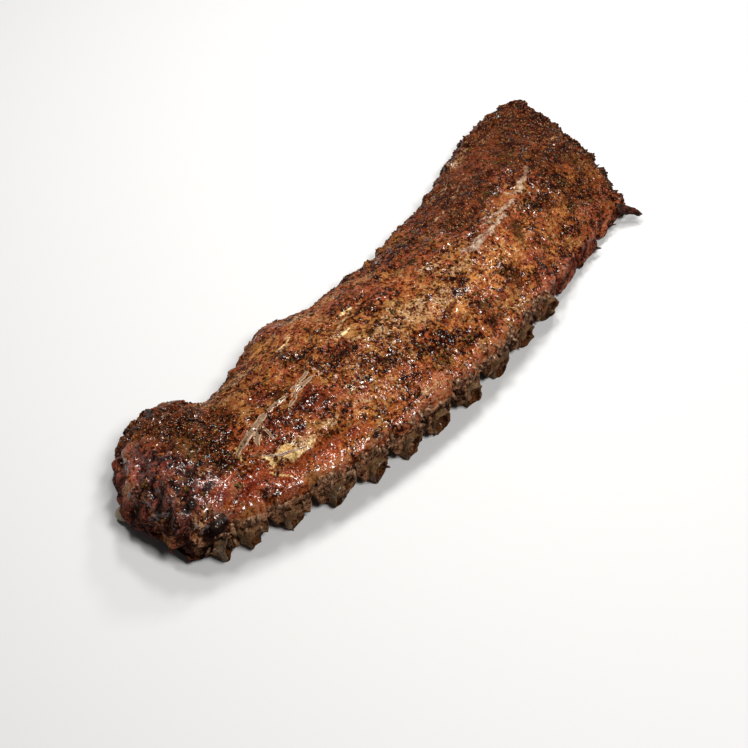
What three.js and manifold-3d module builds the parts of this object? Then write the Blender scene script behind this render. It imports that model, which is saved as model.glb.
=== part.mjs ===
// A full rack of roast pork back ribs, lying meat side up on its bone side.
//
// One slab of meat is draped over fourteen curved rib bones. Each bone is a separate body that runs
// through the slab, from its sawn head at the chine edge to its tip at the far edge. The fat seam, the
// tendons, the fold behind the thick end, the burnt scraps and the coarsest flakes of the dry rub are
// relief on the slab.
//
// Millimetres. X runs from the thick end to the thin end, Y from the chine edge to the tip edge, and Z up.
// A place on the rack is given as a rib number k, with 1 to 14 at the ribs and 0 and 15 at the two ends,
// and as a share v of the way across, from 0 at the chine edge to 1 at the tip edge.

import * as THREE from "three";
import { mergeVertices } from "three/addons/utils/BufferGeometryUtils.js";
import Module from "manifold-3d";

// ---- Driving dimensions ----

const RIB_COUNT = 14;
const FAR_END = RIB_COUNT + 1;

// The middle of the rack in plan, which is the part's origin.
const PLAN_CENTRE = [2.1, 2.2];

// The chine edge and the tip edge in plan, one point for each k from 0 to 15.
const CHINE_EDGE = [
  [-212, -52], [-192, -59.5], [-176, -64.5], [-151, -71.5], [-122, -78], [-94, -81.5],
  [-67, -83], [-41, -83], [-11, -82.5], [19, -79], [50, -74], [80, -69],
  [111, -62], [144, -55], [175, -48], [200, -43.5],
];
const TIP_EDGE = [
  [-223, -13], [-218, 0], [-203, 25], [-173, 42], [-139, 25.5], [-106, 31.5],
  [-76, 45], [-46, 38.5], [-14, 39.5], [19, 41], [54, 48], [90, 56],
  [126, 69.5], [161, 81.5], [199, 87.5], [229, 88],
];

// Heights of the top of the meat above the table, in five even steps from the chine edge to the tip edge.
const TOP_HEIGHTS = [
  { k: 0, heights: [20, 30, 33, 28, 17] },
  { k: 1.2, heights: [25, 38, 41, 35, 20] },
  { k: 2.6, heights: [28, 42, 45, 39, 20] },
  { k: 4, heights: [28, 40, 43, 37, 17] },
  { k: 6.5, heights: [29, 41, 45, 37, 15] },
  { k: 9, heights: [28, 40, 44, 35, 14] },
  { k: 11, heights: [24, 37, 41, 32, 13] },
  { k: 13, heights: [13, 28, 34, 27, 12] },
  { k: 15, heights: [9, 20, 25, 21, 12] },
];

// The bone side: an arch that stands on the rib heads and the rib tips, hollow between the ribs.
const ARCH_RISES = { k: [0, 2.5, 9, 15], rise: [6, 17, 17, 11] };
const ARCH_FULLNESS = 0.8;
const EDGE_CLEARANCE = 0.6;
const GAP_RECESS = 3;
const GAP_RECESS_STARTS = 30;

// The notches between the rib heads. Past the last open rib the meat hangs over the heads instead.
const NOTCH_HEIGHT = 11;
const NOTCH_DEPTH_ACROSS = 16;
const LUMP_SHARE = 0.68;
const SCALLOP = 3.5;
const SCALLOP_DEPTH_ACROSS = 9;
const LAST_OPEN_RIB = 11;
const FIRST_HIDDEN_RIB = 13;

// How quickly the slab rounds off at its four edges, and how high up its side the edge lies.
const CHINE_ROUND = 5;
const TIP_ROUND = 9;
const NEAR_ROUND = 22;
const FAR_ROUND = 7;
const END_FACE = 2;
const CHINE_PINCH = 0.14;
const TIP_PINCH = 0.5;

// A rib bone: a blocky sawn head, a neck, and a flat curved shaft.
const HEAD_WIDTH = 13;
const HEAD_HEIGHT = 16;
const HEAD_LENGTH = 9;
const HEAD_PROUD = 2;
const HIDDEN_HEAD_INSET = 14;
const HIDDEN_HEAD_HEIGHT = 8;
const SHAFT_WIDTH = 11;
const SHAFT_HEIGHT = 7;
const SHAFT_PROUD = 1.3;
const TIP_WIDTH = 9;
const TIP_PROUD = 1.5;
const FIRST_TIP_PROUD = 5;
const BONE_CLEARANCE = 0.3;

// Relief on the top of the meat, each form along a line of places [k, v]. A height below 0 is a groove.
const FOLD = { height: -5, width: 14, line: [[3.6, 0.78], [3.35, 0.58], [2.7, 0.27]] };
const FAT_SEAM = { height: 2.2, width: 7, line: [[2.7, 0.25], [3.2, 0.215], [3.7, 0.18], [5.2, 0.25]] };
const SEAM_CREASE = { height: -1.8, width: 6, line: [[3.1, 0.14], [3.6, 0.11], [4.9, 0.15]] };
const LONG_TENDON = { height: 1.7, width: 5, line: [[2.95, 0.33], [4.05, 0.5], [5.2, 0.52], [5.9, 0.57]] };
const SHORT_TENDON = { height: 1.5, width: 5, line: [[4.3, 0.43], [4.65, 0.47], [5.2, 0.48]] };
const FAR_TENDON = { height: 1.6, width: 8, line: [[9.95, 0.46], [10.5, 0.44], [11.9, 0.44], [13, 0.5]] };
const TIP_GROOVE = { height: -1.6, width: 8, line: [[5.4, 0.6], [7.4, 0.69], [9, 0.73], [12, 0.78]] };
const RELIEF = [FOLD, FAT_SEAM, SEAM_CREASE, LONG_TENDON, SHORT_TENDON, FAR_TENDON, TIP_GROOVE];
const RELIEF_SHARPNESS = 2.5;

// Surface crags, and the ragged outline of the burnt edges. Each slice is a level of the noise of its own.
const CRAG_HEIGHT = 0.9;
const CRAG_SIZE = 13;
const CRAG_SLICE = 0.5;
const RAGGED_EDGE = 1.6;
const RAGGED_SIZE = 5;
const RAGGED_SLICES = [3.5, 7.5];

// Burnt scraps that stand out from the edges: [x, y, z] of the root, direction in degrees, length, width.
const SCRAPS = [
  { root: [194, -44, 7], heading: -38, length: 15, width: 7 },
  { root: [150, -53, 5], heading: -40, length: 7, width: 4 },
  { root: [-214, -40, 12], heading: 200, length: 6, width: 4 },
  { root: [-183, 39, 14], heading: 120, length: 6, width: 7 },
];
const SCRAP_SIDES = 6;
const SCRAP_FLATNESS = 0.6;
const SCRAP_DROOP = 8;

// The coarsest flakes of the rub, half sunk into the top of the meat: their half length, and where they lie.
const FLAKE_ROWS = 7;
const FLAKE_COLUMNS = 13;
const FLAKE_SIZE = [1.7, 2.6];
const FLAKE_BREADTH = 0.7;
const FLAKE_FLATNESS = 0.42;
const FLAKES_ALONG = [0.7, FAR_END - 0.5];
const FLAKES_ACROSS = [0.1, 0.92];
const FLAKE_SPREAD = 0.7;
const FLAKE_SEED = 20731;

// The grid that the slab is lofted on: evenly spaced inner rows, and closer ones at the edges, as shares v.
const STATIONS_PER_RIB = 5;
const END_STATIONS = [0, 0.05, 0.16];
const INNER_ROWS = [0.06, 0.9];
const TOP_ROWS = { chine: [0, 0.006, 0.022], inner: 13, tip: [0.955, 0.985, 1] };
const UNDER_ROWS = { chine: [0, 0.01], inner: 9, tip: [0.975, 1] };
const BONE_SECTIONS = [0.17, 0.3, 0.44, 0.58, 0.72, 0.86];

const MEAT_LOOK = { color: 0x7a3a20, roughness: 0.45, metalness: 0 };
const BONE_LOOK = { color: 0x8a7458, roughness: 0.6, metalness: 0 };

// ---- Small tools ----

const wasm = await Module();
wasm.setup();

const { clamp, degToRad, lerp, smoothstep } = THREE.MathUtils;

// A repeatable random number source, the same on every run.
function randomSource(seed) {
  let state = seed >>> 0;
  return () => {
    state = (Math.imul(state, 1664525) + 1013904223) >>> 0;
    return state / 4294967296;
  };
}

// A smooth curve through values at rising keys. Before the first key and past the last it stays level.
function smoothThrough(keys, values, at) {
  const last = keys.length - 1;
  const x = clamp(at, keys[0], keys[last]);
  let i = 0;
  while (i < last - 1 && x > keys[i + 1]) i += 1;
  const slope = (j) => {
    const a = Math.max(j - 1, 0);
    const b = Math.min(j + 1, last);
    return (values[b] - values[a]) / (keys[b] - keys[a]);
  };
  const span = keys[i + 1] - keys[i];
  const t = (x - keys[i]) / span;
  const t2 = t * t;
  const t3 = t2 * t;
  return (
    (2 * t3 - 3 * t2 + 1) * values[i] +
    (t3 - 2 * t2 + t) * span * slope(i) +
    (3 * t2 - 2 * t3) * values[i + 1] +
    (t3 - t2) * span * slope(i + 1)
  );
}

// Smooth noise between -1 and 1 that changes over a distance of about one unit.
function noise(x, y, z) {
  const corner = (i, j, k) => {
    const s = Math.sin(i * 127.1 + j * 311.7 + k * 74.7) * 43758.5453;
    return 2 * (s - Math.floor(s)) - 1;
  };
  const [i, j, k] = [Math.floor(x), Math.floor(y), Math.floor(z)];
  const fade = (t) => t * t * (3 - 2 * t);
  const [u, v, w] = [fade(x - i), fade(y - j), fade(z - k)];
  const edge = (dj, dk) => lerp(corner(i, j + dj, k + dk), corner(i + 1, j + dj, k + dk), u);
  return lerp(lerp(edge(0, 0), edge(1, 0), v), lerp(edge(0, 1), edge(1, 1), v), w);
}

// How far a point is from a line of [x, y] points.
function distanceToLine(x, y, line) {
  let nearest = Infinity;
  for (let i = 0; i < line.length - 1; i += 1) {
    const [ax, ay] = line[i];
    const [bx, by] = line[i + 1];
    const length2 = (bx - ax) ** 2 + (by - ay) ** 2;
    const t = clamp(((x - ax) * (bx - ax) + (y - ay) * (by - ay)) / length2, 0, 1);
    nearest = Math.min(nearest, Math.hypot(x - ax - t * (bx - ax), y - ay - t * (by - ay)));
  }
  return nearest;
}

// A rise from 0 at an edge to 1 at a given distance from it, shaped as a quarter circle.
function roundedEdge(distance, radius) {
  const s = 1 - clamp(distance / radius, 0, 1);
  return Math.sqrt(Math.max(0, 1 - s * s));
}

// A closed body as a manifold-3d solid.
function solidFrom(geometry) {
  const bare = geometry.clone();
  bare.deleteAttribute("normal");
  bare.deleteAttribute("uv");
  const merged = mergeVertices(bare, 1e-4);
  const mesh = new wasm.Mesh({
    numProp: 3,
    vertProperties: merged.getAttribute("position").array,
    triVerts: new Uint32Array(merged.index.array),
  });
  return new wasm.Manifold(mesh);
}

// A manifold-3d solid as a three.js geometry.
function geometryFrom(solid) {
  const mesh = solid.getMesh();
  const geometry = new THREE.BufferGeometry();
  geometry.setAttribute("position", new THREE.BufferAttribute(mesh.vertProperties, 3));
  geometry.setIndex(new THREE.BufferAttribute(mesh.triVerts, 1));
  return geometry;
}

// ---- The shape of the rack ----

const EDGE_KEYS = CHINE_EDGE.map((point, k) => k);
const HEIGHT_KEYS = TOP_HEIGHTS.map((row) => row.k);
const ACROSS_KEYS = [0, 0.25, 0.5, 0.75, 1];

const edgePoint = (edge, k) => [0, 1].map((axis) => smoothThrough(EDGE_KEYS, edge.map((p) => p[axis]), k));

// 1 over a rib and past the first and last ribs, 0 in the middle of the gap between two ribs.
function ribness(k) {
  const inside = clamp(k, 1, RIB_COUNT);
  const fromRib = Math.abs(inside - Math.round(inside));
  return 1 - smoothstep(fromRib, LUMP_SHARE / 2, 0.5);
}

// The line across the rack at k, from the chine edge to the tip edge.
function acrossAt(k) {
  const chine = edgePoint(CHINE_EDGE, k);
  const tip = edgePoint(TIP_EDGE, k);
  const width = Math.hypot(tip[0] - chine[0], tip[1] - chine[1]);
  return { chine, tip, width };
}

// The point of that line at the share v.
function planPoint(k, v) {
  const { chine, tip } = acrossAt(k);
  return [lerp(chine[0], tip[0], v), lerp(chine[1], tip[1], v)];
}

for (const form of RELIEF) form.plan = form.line.map(([k, v]) => planPoint(k, v));

function topHeight(k, v) {
  const column = (i) => smoothThrough(HEIGHT_KEYS, TOP_HEIGHTS.map((row) => row.heights[i]), k);
  const [x, y] = planPoint(k, v);
  let height = smoothThrough(ACROSS_KEYS, ACROSS_KEYS.map((_, i) => column(i)), v);
  for (const form of RELIEF) {
    const t = distanceToLine(x, y, form.plan) / form.width;
    height += form.height * Math.exp(-RELIEF_SHARPNESS * t * t);
  }
  return height + CRAG_HEIGHT * noise(x / CRAG_SIZE, y / CRAG_SIZE, CRAG_SLICE);
}

function underHeight(k, v) {
  const { width } = acrossAt(k);
  const rise = smoothThrough(ARCH_RISES.k, ARCH_RISES.rise, k);
  const arch = EDGE_CLEARANCE + rise * (1 - (2 * v - 1) ** 2) ** ARCH_FULLNESS;
  const gap = 1 - ribness(k);
  const fromChine = v * width;
  const open = 1 - smoothstep(k, LAST_OPEN_RIB, FIRST_HIDDEN_RIB);
  const notch = open * NOTCH_HEIGHT * Math.exp(-((fromChine / NOTCH_DEPTH_ACROSS) ** 2));
  return arch + gap * (notch + GAP_RECESS * smoothstep(fromChine, 0, GAP_RECESS_STARTS));
}

// A point on the slab: its top where side is 1, its bone side where side is -1.
function slabPoint(k, v, side) {
  const { chine, tip, width } = acrossAt(k);
  const [x, y] = planPoint(k, v);
  const [nearX, nearY] = planPoint(0, v);
  const [farX, farY] = planPoint(FAR_END, v);
  const inset =
    roundedEdge(v * width, CHINE_ROUND) *
    roundedEdge((1 - v) * width, TIP_ROUND) *
    roundedEdge(END_FACE + Math.hypot(x - nearX, y - nearY), NEAR_ROUND) *
    roundedEdge(END_FACE + Math.hypot(x - farX, y - farY), FAR_ROUND);
  const top = topHeight(k, v);
  const under = underHeight(k, v);
  const pinch = lerp(under, top, lerp(CHINE_PINCH, TIP_PINCH, v));
  const ragged = RAGGED_EDGE * (1 - inset);
  const [raggedX, raggedY] = RAGGED_SLICES.map((slice) => noise(x / RAGGED_SIZE, y / RAGGED_SIZE, slice));
  const scallop = ((SCALLOP * (1 - ribness(k))) / width) * Math.exp(-((v * width) / SCALLOP_DEPTH_ACROSS));
  return new THREE.Vector3(
    x + ragged * raggedX + scallop * (tip[0] - chine[0]),
    y + ragged * raggedY + scallop * (tip[1] - chine[1]),
    lerp(pinch, side > 0 ? top : under, inset),
  );
}

// Rows across the slab, closer together where its edges round off.
function rowsAcross({ chine, inner, tip }) {
  const even = Array.from({ length: inner }, (_, i) => lerp(...INNER_ROWS, i / (inner - 1)));
  return [...chine, ...even, ...tip];
}

// Stations along the slab, closer together at its two ends.
function stationsAlong() {
  const count = FAR_END * STATIONS_PER_RIB - 3;
  const even = Array.from({ length: count }, (_, i) => (i + 2) / STATIONS_PER_RIB);
  const farStations = END_STATIONS.map((k) => FAR_END - k).reverse();
  return [...END_STATIONS, ...even, ...farStations];
}

// Triangles between an upper and a lower row of points that start and end together.
function stripBetween(upper, upperShares, lower, lowerShares) {
  const faces = [];
  let i = 0;
  let j = 0;
  while (i < upper.length - 1 || j < lower.length - 1) {
    const upperFirst = i < upper.length - 1 && upperShares[i + 1] <= lowerShares[j + 1];
    const stepUp = j === lower.length - 1 || upperFirst;
    const next = stepUp ? upper[i + 1] : lower[j + 1];
    if (new Set([upper[i], lower[j], next]).size === 3) faces.push([upper[i], lower[j], next]);
    if (stepUp) i += 1;
    else j += 1;
  }
  return faces;
}

// The slab: a top skin and a bone side skin that meet along the two edges, and a face at each end.
function slabGeometry() {
  const positions = [];
  const index = [];
  const addPoint = (p) => positions.push(p.x, p.y, p.z) / 3 - 1;
  const stations = stationsAlong();
  const edges = stations.map((k) => [addPoint(slabPoint(k, 0, 1)), addPoint(slabPoint(k, 1, 1))]);
  const skin = (rows, side) =>
    stations.map((k, i) => {
      const inner = rows.slice(1, -1).map((v) => addPoint(slabPoint(k, v, side)));
      return [edges[i][0], ...inner, edges[i][1]];
    });
  const topRows = rowsAcross(TOP_ROWS);
  const underRows = rowsAcross(UNDER_ROWS);
  const top = skin(topRows, 1);
  const under = skin(underRows, -1);
  for (const [grid, facesUp] of [[top, true], [under, false]]) {
    for (let i = 0; i < grid.length - 1; i += 1) {
      for (let j = 0; j < grid[i].length - 1; j += 1) {
        const [a, b, c, d] = [grid[i][j], grid[i + 1][j], grid[i + 1][j + 1], grid[i][j + 1]];
        if (facesUp) index.push(a, b, c, a, c, d);
        else index.push(a, c, b, a, d, c);
      }
    }
  }
  const last = stations.length - 1;
  for (const [a, b, c] of stripBetween(top[0], topRows, under[0], underRows)) index.push(a, c, b);
  for (const [a, b, c] of stripBetween(top[last], topRows, under[last], underRows)) index.push(a, b, c);
  const geometry = new THREE.BufferGeometry();
  geometry.setAttribute("position", new THREE.Float32BufferAttribute(positions, 3));
  geometry.setIndex(index);
  return geometry;
}

// ---- The rib bones ----

// An eight-sided section, as shares of the half width and the half height, with a flat underside.
const BONE_SECTION = [
  [-0.65, -1], [0.65, -1], [1, -0.6], [1, 0.6], [0.65, 1], [-0.65, 1], [-1, 0.6], [-1, -0.6],
];

// The stations of a bone: distance from the chine edge, half width, half height and height of its middle.
function boneStations(k) {
  const { width } = acrossAt(k);
  const hidden = smoothstep(k, LAST_OPEN_RIB, FIRST_HIDDEN_RIB);
  const start = lerp(-HEAD_PROUD, HIDDEN_HEAD_INSET, hidden);
  const halfHeight = lerp(HEAD_HEIGHT, HIDDEN_HEAD_HEIGHT, hidden) / 2;
  const head = [start, start + HEAD_LENGTH].map((along) => ({
    along,
    halfWidth: HEAD_WIDTH / 2,
    halfHeight,
    middle: halfHeight,
  }));
  const shaftAt = (along) => {
    const bottom = Math.max(0, underHeight(k, clamp(along / width, 0, 1)) - SHAFT_PROUD);
    const halfShaft = SHAFT_HEIGHT / 2;
    return { along, halfWidth: SHAFT_WIDTH / 2, halfHeight: halfShaft, middle: bottom + halfShaft };
  };
  const shaft = BONE_SECTIONS.map((share) => shaftAt(share * width));
  const proud = k === 1 ? FIRST_TIP_PROUD : TIP_PROUD;
  return [...head, ...shaft, { ...shaftAt(width + proud), halfWidth: TIP_WIDTH / 2 }];
}

// A bone swept from its head to its tip. Grown, it is the space that the meat leaves for it.
function boneGeometry(k, grown) {
  const { chine, tip, width } = acrossAt(k);
  const along = [(tip[0] - chine[0]) / width, (tip[1] - chine[1]) / width];
  const stations = boneStations(k);
  const positions = [];
  const index = [];
  const sides = BONE_SECTION.length;
  stations.forEach((station, i) => {
    const atEnd = i === 0 ? -1 : Number(i === stations.length - 1);
    const distance = station.along + atEnd * grown;
    for (const [across, up] of BONE_SECTION) {
      const offset = across * (station.halfWidth + grown);
      positions.push(
        chine[0] + along[0] * distance + along[1] * offset,
        chine[1] + along[1] * distance - along[0] * offset,
        station.middle + up * (station.halfHeight + grown),
      );
    }
  });
  for (let i = 0; i < stations.length - 1; i += 1) {
    for (let j = 0; j < sides; j += 1) {
      const next = (j + 1) % sides;
      const [a, b, c, d] = [i * sides + j, i * sides + next, (i + 1) * sides + next, (i + 1) * sides + j];
      index.push(a, c, b, a, d, c);
    }
  }
  const last = (stations.length - 1) * sides;
  for (let j = 1; j < sides - 1; j += 1) {
    index.push(0, j, j + 1);
    index.push(last, last + j + 1, last + j);
  }
  const geometry = new THREE.BufferGeometry();
  geometry.setAttribute("position", new THREE.Float32BufferAttribute(positions, 3));
  geometry.setIndex(index);
  return geometry;
}

// ---- Burnt scraps and flakes of the rub ----

// A pointed scrap of charred meat, its root sunk into the edge of the slab.
function scrapGeometry({ root, heading, length, width }) {
  const geometry = new THREE.ConeGeometry(width / 2, length + width, SCRAP_SIDES);
  geometry.rotateZ(-Math.PI / 2);
  geometry.scale(1, 1, SCRAP_FLATNESS);
  geometry.translate(length / 2 - width / 2, 0, 0);
  geometry.rotateY(degToRad(SCRAP_DROOP));
  geometry.rotateZ(degToRad(heading));
  geometry.translate(...root);
  return geometry;
}

// One flake of cracked pepper or herb, lying on the slope of the meat at k and v.
function flakeGeometry(k, v, size, turn) {
  const geometry = new THREE.IcosahedronGeometry(size, 0);
  geometry.scale(1, FLAKE_BREADTH, FLAKE_FLATNESS);
  geometry.rotateZ(turn);
  const at = slabPoint(k, v, 1);
  const alongSlope = slabPoint(k + 0.1, v, 1).sub(at);
  const acrossSlope = slabPoint(k, v + 0.02, 1).sub(at);
  const normal = alongSlope.cross(acrossSlope).normalize();
  geometry.applyQuaternion(new THREE.Quaternion().setFromUnitVectors(new THREE.Vector3(0, 0, 1), normal));
  geometry.translate(at.x, at.y, at.z);
  return geometry;
}

// Flakes spread evenly over the top, one near the middle of each cell of a loose grid.
function flakeGeometries() {
  const random = randomSource(FLAKE_SEED);
  const inCell = () => 0.5 + FLAKE_SPREAD * (random() - 0.5);
  const flakes = [];
  for (let column = 0; column < FLAKE_COLUMNS; column += 1) {
    for (let row = 0; row < FLAKE_ROWS; row += 1) {
      const k = lerp(...FLAKES_ALONG, (column + inCell()) / FLAKE_COLUMNS);
      const v = lerp(...FLAKES_ACROSS, (row + inCell()) / FLAKE_ROWS);
      const size = lerp(...FLAKE_SIZE, random());
      flakes.push(flakeGeometry(k, v, size, random() * Math.PI));
    }
  }
  return flakes;
}

// ---- The rack ----

function namedMesh(name, geometry, look) {
  const mesh = new THREE.Mesh(geometry, new THREE.MeshStandardMaterial(look));
  mesh.name = name;
  return mesh;
}

const rack = new THREE.Group();
let meat = solidFrom(slabGeometry());
for (const scrap of SCRAPS) meat = meat.add(solidFrom(scrapGeometry(scrap)));
for (const flake of flakeGeometries()) meat = meat.add(solidFrom(flake));

for (let k = 1; k <= RIB_COUNT; k += 1) {
  meat = meat.subtract(solidFrom(boneGeometry(k, BONE_CLEARANCE)));
  rack.add(namedMesh(`rib_${String(k).padStart(2, "0")}`, boneGeometry(k, 0), BONE_LOOK));
}
const [slab] = meat.decompose().sort((a, b) => b.volume() - a.volume());
rack.add(namedMesh("meat", geometryFrom(slab), MEAT_LOOK));
rack.position.set(-PLAN_CENTRE[0], -PLAN_CENTRE[1], 0);

export default rack;
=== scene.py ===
import math

import bmesh
import bpy
import numpy as np
from mathutils import Matrix, Vector


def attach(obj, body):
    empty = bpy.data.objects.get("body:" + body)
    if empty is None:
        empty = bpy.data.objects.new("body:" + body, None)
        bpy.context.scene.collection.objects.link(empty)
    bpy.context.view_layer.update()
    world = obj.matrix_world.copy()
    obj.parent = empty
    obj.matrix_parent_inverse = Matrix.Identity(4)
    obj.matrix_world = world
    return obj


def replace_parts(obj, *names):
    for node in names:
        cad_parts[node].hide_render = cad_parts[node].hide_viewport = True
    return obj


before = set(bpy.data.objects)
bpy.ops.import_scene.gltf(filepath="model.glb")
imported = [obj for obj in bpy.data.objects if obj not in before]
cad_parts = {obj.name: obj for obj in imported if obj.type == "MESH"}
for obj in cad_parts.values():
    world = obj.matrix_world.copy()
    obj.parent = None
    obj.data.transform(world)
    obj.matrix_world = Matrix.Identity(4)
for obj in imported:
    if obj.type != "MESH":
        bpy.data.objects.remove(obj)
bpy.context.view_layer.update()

# ---- The rib bones ----
# Fourteen curved bones of a pig's back, each sawn from the backbone at a blocky, hollow head and flat from
# there to its tip. The meat is grown onto them, and the rack stands on their heads and tips.

MM = 0.001
RIB_COUNT = 14
FAR_END = RIB_COUNT + 1
PLAN_CENTRE = (2.1, 2.2)

# Both edges of the rack in plan, in millimetres. A place is a rib number k, with 1 to 14 at the ribs and 0
# and 15 at the ends, and a share v of the way across, from the chine edge to the tip edge.
CHINE_EDGE = [
    (-212, -52), (-192, -59.5), (-176, -64.5), (-151, -71.5), (-122, -78), (-94, -81.5),
    (-67, -83), (-41, -83), (-11, -82.5), (19, -79), (50, -74), (80, -69),
    (111, -62), (144, -55), (175, -48), (200, -43.5),
]
TIP_EDGE = [
    (-223, -13), (-218, 0), (-203, 25), (-173, 42), (-139, 25.5), (-106, 31.5),
    (-76, 45), (-46, 38.5), (-14, 39.5), (19, 41), (54, 48), (90, 56),
    (126, 69.5), (161, 81.5), (199, 87.5), (229, 88),
]
EDGE_KEYS = np.arange(FAR_END + 1)

# The arch that the ribs make over the table, and the notches between their heads.
ARCH_KEYS = [0, 2.5, 9, 15]
ARCH_RISES = [6, 17, 17, 11]
ARCH_FULLNESS = 0.8
EDGE_CLEARANCE = 0.6
GAP_RECESS = 3
GAP_RECESS_STARTS = 30
NOTCH_HEIGHT = 11
NOTCH_DEPTH_ACROSS = 16
LUMP_SHARE = 0.68
LAST_OPEN_RIB = 11
FIRST_HIDDEN_RIB = 13

HEAD_HALF_WIDTH = 6.5
HEAD_HALF_HEIGHT = 8
HEAD_LENGTH = 9
HEAD_PROUD = 2
HIDDEN_HEAD_INSET = 14
HIDDEN_HEAD_HALF_HEIGHT = 4
SHAFT_HALF_WIDTH = 5.5
SHAFT_HALF_HEIGHT = 3.5
SHAFT_PROUD = 1.3
NECK_ENDS = 0.17
TIP_HALF_WIDTH = 4.5
TIP_STARTS = 0.86
TIP_PROUD = 1.5
FIRST_TIP_PROUD = 5
TIP_DOME = 4
TIP_DOME_SHARE = 0.97
HEAD_ROUNDNESS = 0.6
NECK_ROUNDING = 0.35
BONE_STEPS = 96
BONE_STEP_GROWTH = 1.15
BONE_SIDES = 30

# The sawn face of a head, as rings at a share of the head's size and a depth into it, round a core.
SAWN_RINGS = [(0.93, 0.1), (0.84, 0.3), (0.74, 1.8), (0.62, 3.6), (0.35, 4.6), (0.1, 4.4)]
CORE_SHARE = 0.01
RIM_BREADTH = 2.2

# How lumpy the bone is, and how far from the head's face or from the tip each stretch of it reaches.
HEAD_LUMPS = 0.7
NECK_LUMPS = 0.8
NECK_LUMPS_REACH = np.array([6, 22])
SHAFT_LUMPS = 0.35
TIP_LUMPS = 0.7
TIP_LUMPS_REACH = np.array([14, 5])
SCORCH_REACH = np.array([4, 26])
TIP_REACH = np.array([16, 6])

BONE_ROAST = (0.14, 0.068, 0.03)
BONE_PALE = (0.4, 0.24, 0.12)
BONE_DARK = (0.035, 0.02, 0.011)
BONE_GREY = (0.4, 0.34, 0.25)
MARROW = (0.03, 0.009, 0.003)
MARROW_BROWN = (0.1, 0.034, 0.01)
DRY_SHINE = 0.03


def smooth_through(keys, values, at):
    """A smooth curve through values at rising keys, level before the first key and past the last."""
    keys, values, at = np.asarray(keys, float), np.asarray(values, float), np.asarray(at, float)
    last = len(keys) - 1
    x = np.clip(at, keys[0], keys[last])
    i = np.clip(np.searchsorted(keys, x, side="left") - 1, 0, last - 1)
    before = np.maximum(np.arange(last + 1) - 1, 0)
    after = np.minimum(np.arange(last + 1) + 1, last)
    spread = (keys[after] - keys[before]).reshape([-1] + [1] * (values.ndim - 1))
    slopes = (values[after] - values[before]) / spread

    def pick(rows, j):
        return rows[j] if rows.ndim == 1 else np.take_along_axis(rows, j[None], 0)[0]

    span = keys[i + 1] - keys[i]
    t = (x - keys[i]) / span
    start = (2 * t**3 - 3 * t**2 + 1) * pick(values, i) + (t**3 - 2 * t**2 + t) * span * pick(slopes, i)
    end = (3 * t**2 - 2 * t**3) * pick(values, i + 1) + (t**3 - t**2) * span * pick(slopes, i + 1)
    return start + end


def smoothstep(x, low, high):
    """A smooth rise from 0 at low to 1 at high."""
    t = np.clip((x - low) / (high - low), 0, 1)
    return t * t * (3 - 2 * t)


def noise(x, y, z):
    """Smooth noise between -1 and 1 that changes over a distance of about one unit."""
    x, y, z = np.broadcast_arrays(x, y, z)
    cell = np.floor(np.stack([x, y, z]))
    u, v, w = smoothstep(np.stack([x, y, z]) - cell, 0, 1)

    def corner(di, dj, dk):
        s = np.sin((cell[0] + di) * 127.1 + (cell[1] + dj) * 311.7 + (cell[2] + dk) * 74.7) * 43758.5453
        return 2 * (s - np.floor(s)) - 1

    def edge(dj, dk):
        return corner(0, dj, dk) * (1 - u) + corner(1, dj, dk) * u

    low = edge(0, 0) * (1 - v) + edge(1, 0) * v
    high = edge(0, 1) * (1 - v) + edge(1, 1) * v
    return low * (1 - w) + high * w


def grain(points, size, level=0.0):
    """Noise at points in space, over a distance of size. Each level is a pattern of its own."""
    return noise(points[:, 0] / size + level, points[:, 1] / size - level, points[:, 2] / size + 3 * level)


def edge_point(edge, k):
    """Where an edge of the rack is in plan at k."""
    return np.stack([smooth_through(EDGE_KEYS, [p[axis] for p in edge], k) for axis in (0, 1)], -1)


def across_at(k):
    """Both ends of the line across the rack at k, and its length."""
    chine, tip = edge_point(CHINE_EDGE, k), edge_point(TIP_EDGE, k)
    return chine, tip, np.linalg.norm(tip - chine, axis=-1)


def ribness(k):
    """1 over a rib and past the first and last ribs, and 0 in the middle of the gap between two ribs."""
    inside = np.clip(k, 1, RIB_COUNT)
    return 1 - smoothstep(np.abs(inside - np.round(inside)), LUMP_SHARE / 2, 0.5)


def under_height(k, v):
    """The height of the bone side above the table."""
    rise = smooth_through(ARCH_KEYS, ARCH_RISES, k)
    arch = EDGE_CLEARANCE + rise * np.maximum(0, 1 - (2 * v - 1) ** 2) ** ARCH_FULLNESS
    from_chine = v * across_at(k)[2]
    is_open = 1 - smoothstep(k, LAST_OPEN_RIB, FIRST_HIDDEN_RIB)
    notch = is_open * NOTCH_HEIGHT * np.exp(-((from_chine / NOTCH_DEPTH_ACROSS) ** 2))
    recess = GAP_RECESS * smoothstep(from_chine, 0, GAP_RECESS_STARTS)
    return arch + (1 - ribness(k)) * (notch + recess)


def piece_from(name, points, faces, material, slot, **masks):
    """A piece of the rack from points in millimetres, with one named value a point for each mask."""
    mesh = bpy.data.meshes.new(name)
    place = np.array(points, float)
    place[:, :2] -= PLAN_CENTRE
    mesh.from_pydata((place * MM).tolist(), [], faces)
    mesh.shade_smooth()
    for mask, values in masks.items():
        attribute = mesh.attributes.new(mask, "FLOAT", "POINT")
        attribute.data.foreach_set("value", np.asarray(values, np.float32))
    mesh.materials.append(material)
    piece = bpy.data.objects.new(name, mesh)
    bpy.context.scene.collection.objects.link(piece)
    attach(piece, "root")
    return piece


def set_inputs(tree, node, inputs):
    """Sets inputs of a node to values, or links them to other nodes' outputs."""
    for name, value in inputs.items():
        if isinstance(value, bpy.types.NodeSocket):
            tree.links.new(value, node.inputs[name])
        else:
            node.inputs[name].default_value = value


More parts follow.
